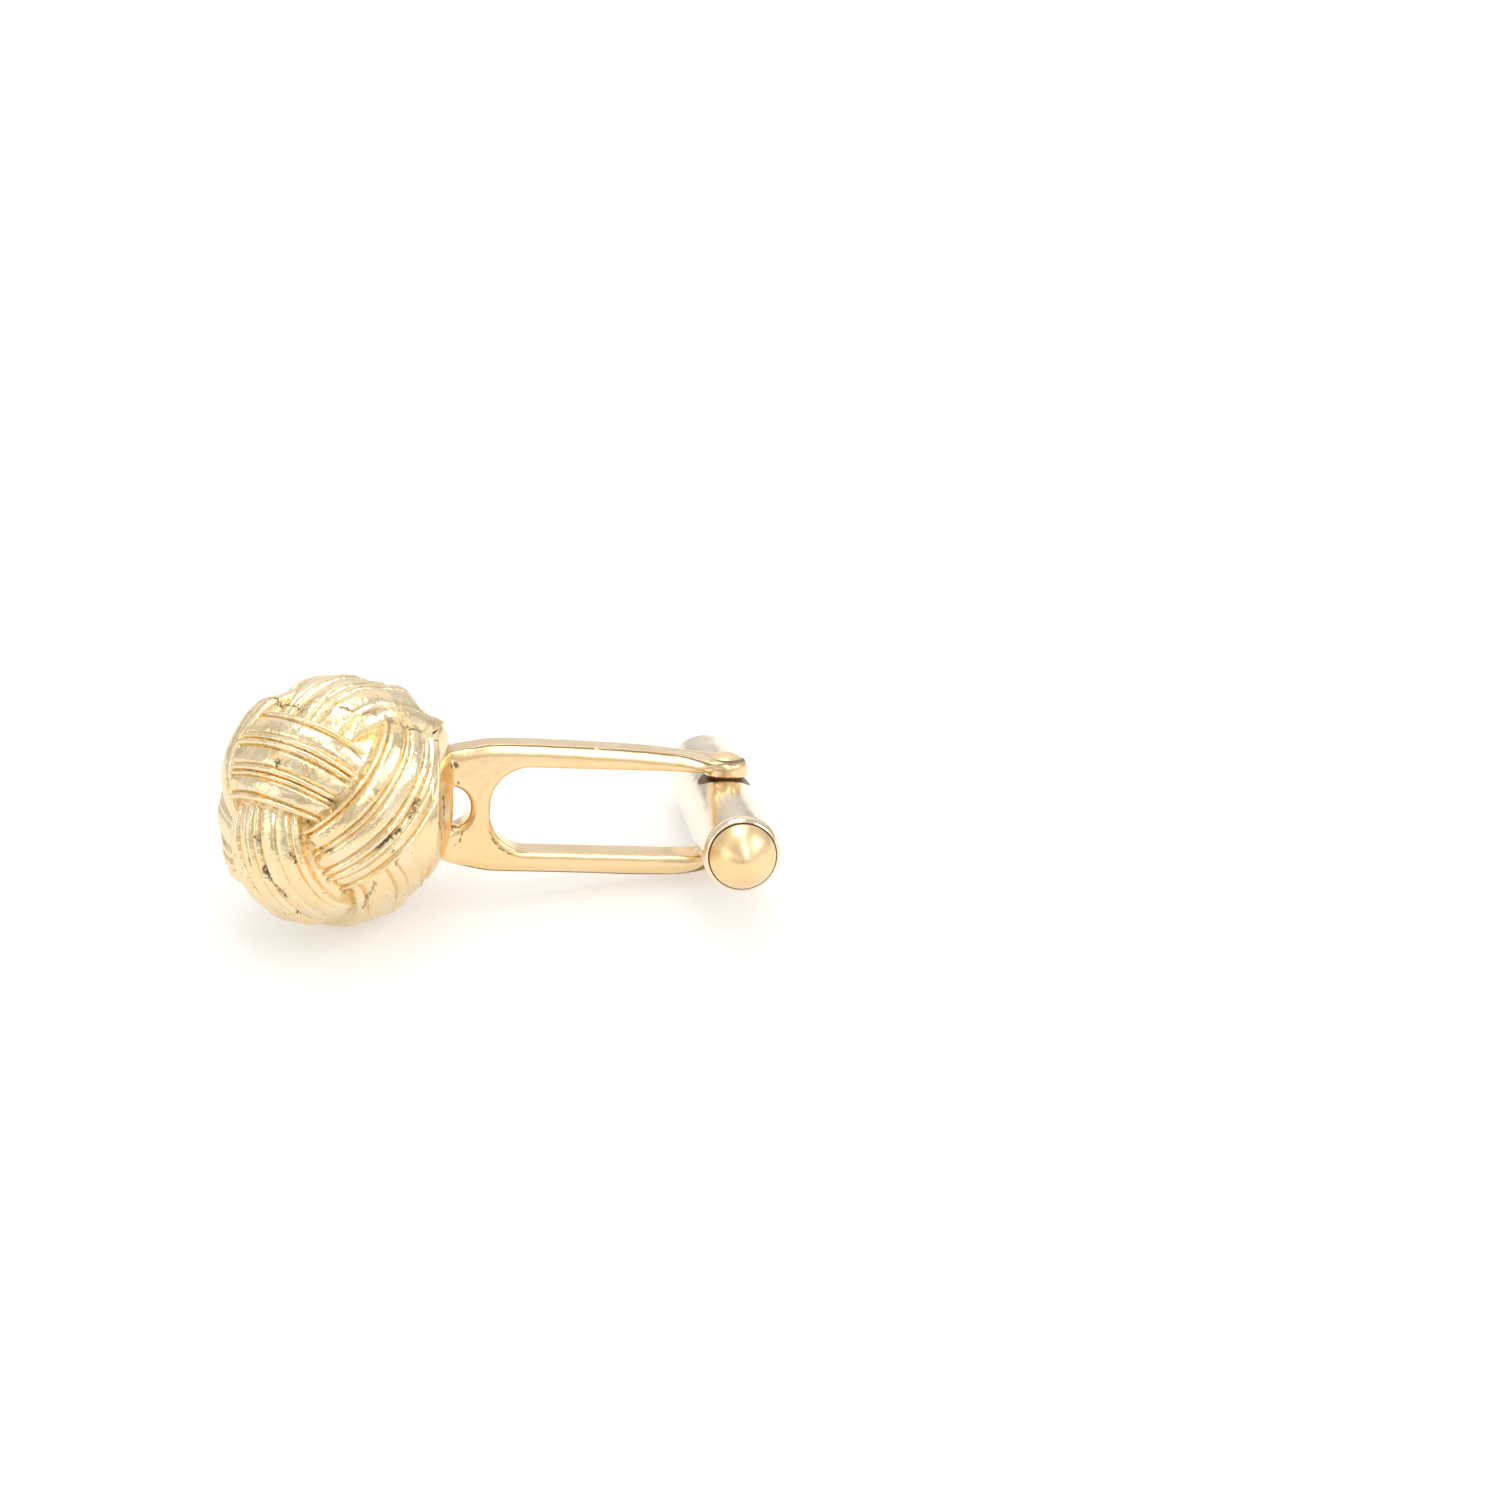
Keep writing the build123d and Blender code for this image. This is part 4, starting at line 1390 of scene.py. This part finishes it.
class CUFFLINK_OT_caps(bpy.types.Operator):
    """Turns one bullet-shaped cap and copies it to the bar's other end"""

    bl_idname = "cufflink.caps"
    bl_label = "End caps"

    def execute(self, context):
        sizes = context.scene.cufflink_bar
        back = turn("cap_back", cap_outline(sizes), "Y", sizes.turns)
        smooth(back, 35)
        front = back.copy()
        front.data = back.data.copy()
        front.name = "cap_front"
        context.collection.objects.link(front)
        front.data.transform(Matrix.Rotation(math.pi, 4, "Z"))
        dress(back, cap_gold, "toggle", "polished_gold", "end_cap_back")
        dress(front, cap_gold, "toggle", "polished_gold", "end_cap_front")
        return {"FINISHED"}


# The stage.


# Camera of the photograph, in the link frame: where the link's axes and origin lie in its view.
FOCAL_SHARE = 4340.4 / 1500
SENSOR = 36.0
VIEW_POST = Vector((0.9902, -0.0271, 0.137))
VIEW_FRONT = Vector((0.1256, -0.2559, -0.9585))
VIEW_PIN = Vector((0.061, 0.9663, -0.25))
VIEW_ORIGIN = Vector((-1.45, -3.19, 228.54))


LIGHTS = [
    # (name, place in metres, width and height in metres, power in watts)
    ("top_softbox", (0.02, 0.10, 0.43), 0.24, 0.24, 0.5),
    ("front_softbox", (0.10, -0.24, 0.36), 0.12, 0.36, 0.34),
    ("right_softbox", (0.36, -0.07, 0.28), 0.22, 0.22, 0.38),
    ("left_softbox", (-0.40, -0.16, 0.14), 0.26, 0.26, 0.20),
]
# The floor's size in metres, and the glow that stands for the photographer's wide lights.
FLOOR_SIZE = 3.0
FLOOR_GLOW = (1.0, 0.99, 0.975, 1.0)
FLOOR_GLOW_STRENGTH = 0.46
# The studio's walls: (low, high, brightness at low, brightness at high).
WALL_HEIGHTS = (0.02, 0.4, 0.68, 0.96)
WALL_PATCHES = (0.44, 0.58, 0.72, 1.15)
WALL_COLOUR = (1.0, 0.985, 0.96, 1.0)


def pale_floor(colours):
    """A pale matt surface that glows a little."""
    return Surface("pale_floor").finish(
        Base_Color=(*colours.floor, 1.0), Roughness=0.6, Emission_Color=FLOOR_GLOW,
        Emission_Strength=FLOOR_GLOW_STRENGTH,
    )


class CUFFLINK_OT_stage(bpy.types.Operator):
    """Lays the pale floor and sets the lights and the camera"""

    bl_idname = "cufflink.stage"
    bl_label = "Stage"

    def execute(self, context):
        deselect_all()
        bpy.ops.mesh.primitive_plane_add(size=FLOOR_SIZE)
        floor = context.object
        floor.name = "floor"
        floor.data.materials.append(made_finish(pale_floor))
        self.lights(context)
        self.studio(context)
        self.camera(context)
        return {"FINISHED"}

    def lights(self, context):
        for name, place, width, height, power in LIGHTS:
            lamp = bpy.data.lights.new(name, "AREA")
            lamp.shape = "RECTANGLE"
            lamp.size = width
            lamp.size_y = height
            lamp.energy = power
            rig = bpy.data.objects.new(name, lamp)
            context.collection.objects.link(rig)
            rig.location = place
            rig.rotation_euler = (-Vector(place)).to_track_quat("-Z", "Y").to_euler()

    def studio(self, context):
        """White walls that are a little darker near the floor and unevenly lit."""
        world = bpy.data.worlds.new("studio")
        context.scene.world = world
        context.scene.view_settings.view_transform = "Standard"
        world.use_nodes = True
        nodes = Nodes(world.node_tree)
        around = nodes.node("ShaderNodeTexCoord", {}, {}).outputs["Generated"]
        parts = nodes.node("ShaderNodeSeparateXYZ", {}, {0: around})
        height = Value(nodes, parts.outputs["Z"]).rise(*WALL_HEIGHTS)
        patches = nodes.noise(around, "studio walls").rise(*WALL_PATCHES)
        background = nodes.tree.nodes["Background"]
        background.inputs["Color"].default_value = WALL_COLOUR
        nodes.tree.links.new((height * patches).socket, background.inputs["Strength"])

    def camera(self, context):
        flip = Vector((1, 1, -1))
        columns = [VIEW_POST * flip, -VIEW_FRONT * flip, VIEW_PIN * flip]
        seen = Matrix(columns).transposed().to_4x4()
        seen.translation = VIEW_ORIGIN * flip * MM
        camera_data = bpy.data.cameras.new("camera")
        camera_data.sensor_width = SENSOR
        camera_data.lens = SENSOR * FOCAL_SHARE
        camera_data.clip_start = 0.01
        camera = bpy.data.objects.new("camera", camera_data)
        context.collection.objects.link(camera)
        camera.matrix_world = LINK @ seen.inverted()
        context.scene.camera = camera


class CUFFLINK_PT_panel(bpy.types.Panel):
    """Lists the cufflink's pieces in the order in which they are made, and its sizes"""

    bl_label = "Knot cufflink"
    bl_space_type = "VIEW_3D"
    bl_region_type = "UI"
    bl_category = "Cufflink"

    def draw(self, context):
        for operator in OPERATORS:
            self.layout.operator(operator.bl_idname)
        for group in GROUPS:
            settings = getattr(context.scene, group)
            box = self.layout.box()
            for name in settings.bl_rna.properties.keys():
                if name not in ("rna_type", "name"):
                    box.prop(settings, name)


GROUPS = {
    "cufflink_knot": CufflinkKnotSizes,
    "cufflink_fork": CufflinkForkSizes,
    "cufflink_bar": CufflinkBarSizes,
    "cufflink_colours": CufflinkColours,
}
OPERATORS = [
    CUFFLINK_OT_bands, CUFFLINK_OT_dome, CUFFLINK_OT_fork, CUFFLINK_OT_pin, CUFFLINK_OT_bar,
    CUFFLINK_OT_caps, CUFFLINK_OT_stage,
]


def register():
    for made in (*GROUPS.values(), *OPERATORS, CUFFLINK_PT_panel):
        bpy.utils.register_class(made)
    for name, group in GROUPS.items():
        setattr(bpy.types.Scene, name, PointerProperty(type=group))


def unregister():
    for name in GROUPS:
        delattr(bpy.types.Scene, name)
    for made in reversed((*GROUPS.values(), *OPERATORS, CUFFLINK_PT_panel)):
        bpy.utils.unregister_class(made)


def main():
    register()
    for operator in OPERATORS:
        family, name = operator.bl_idname.split(".")
        getattr(getattr(bpy.ops, family), name)()


if __name__ == "__main__":
    main()
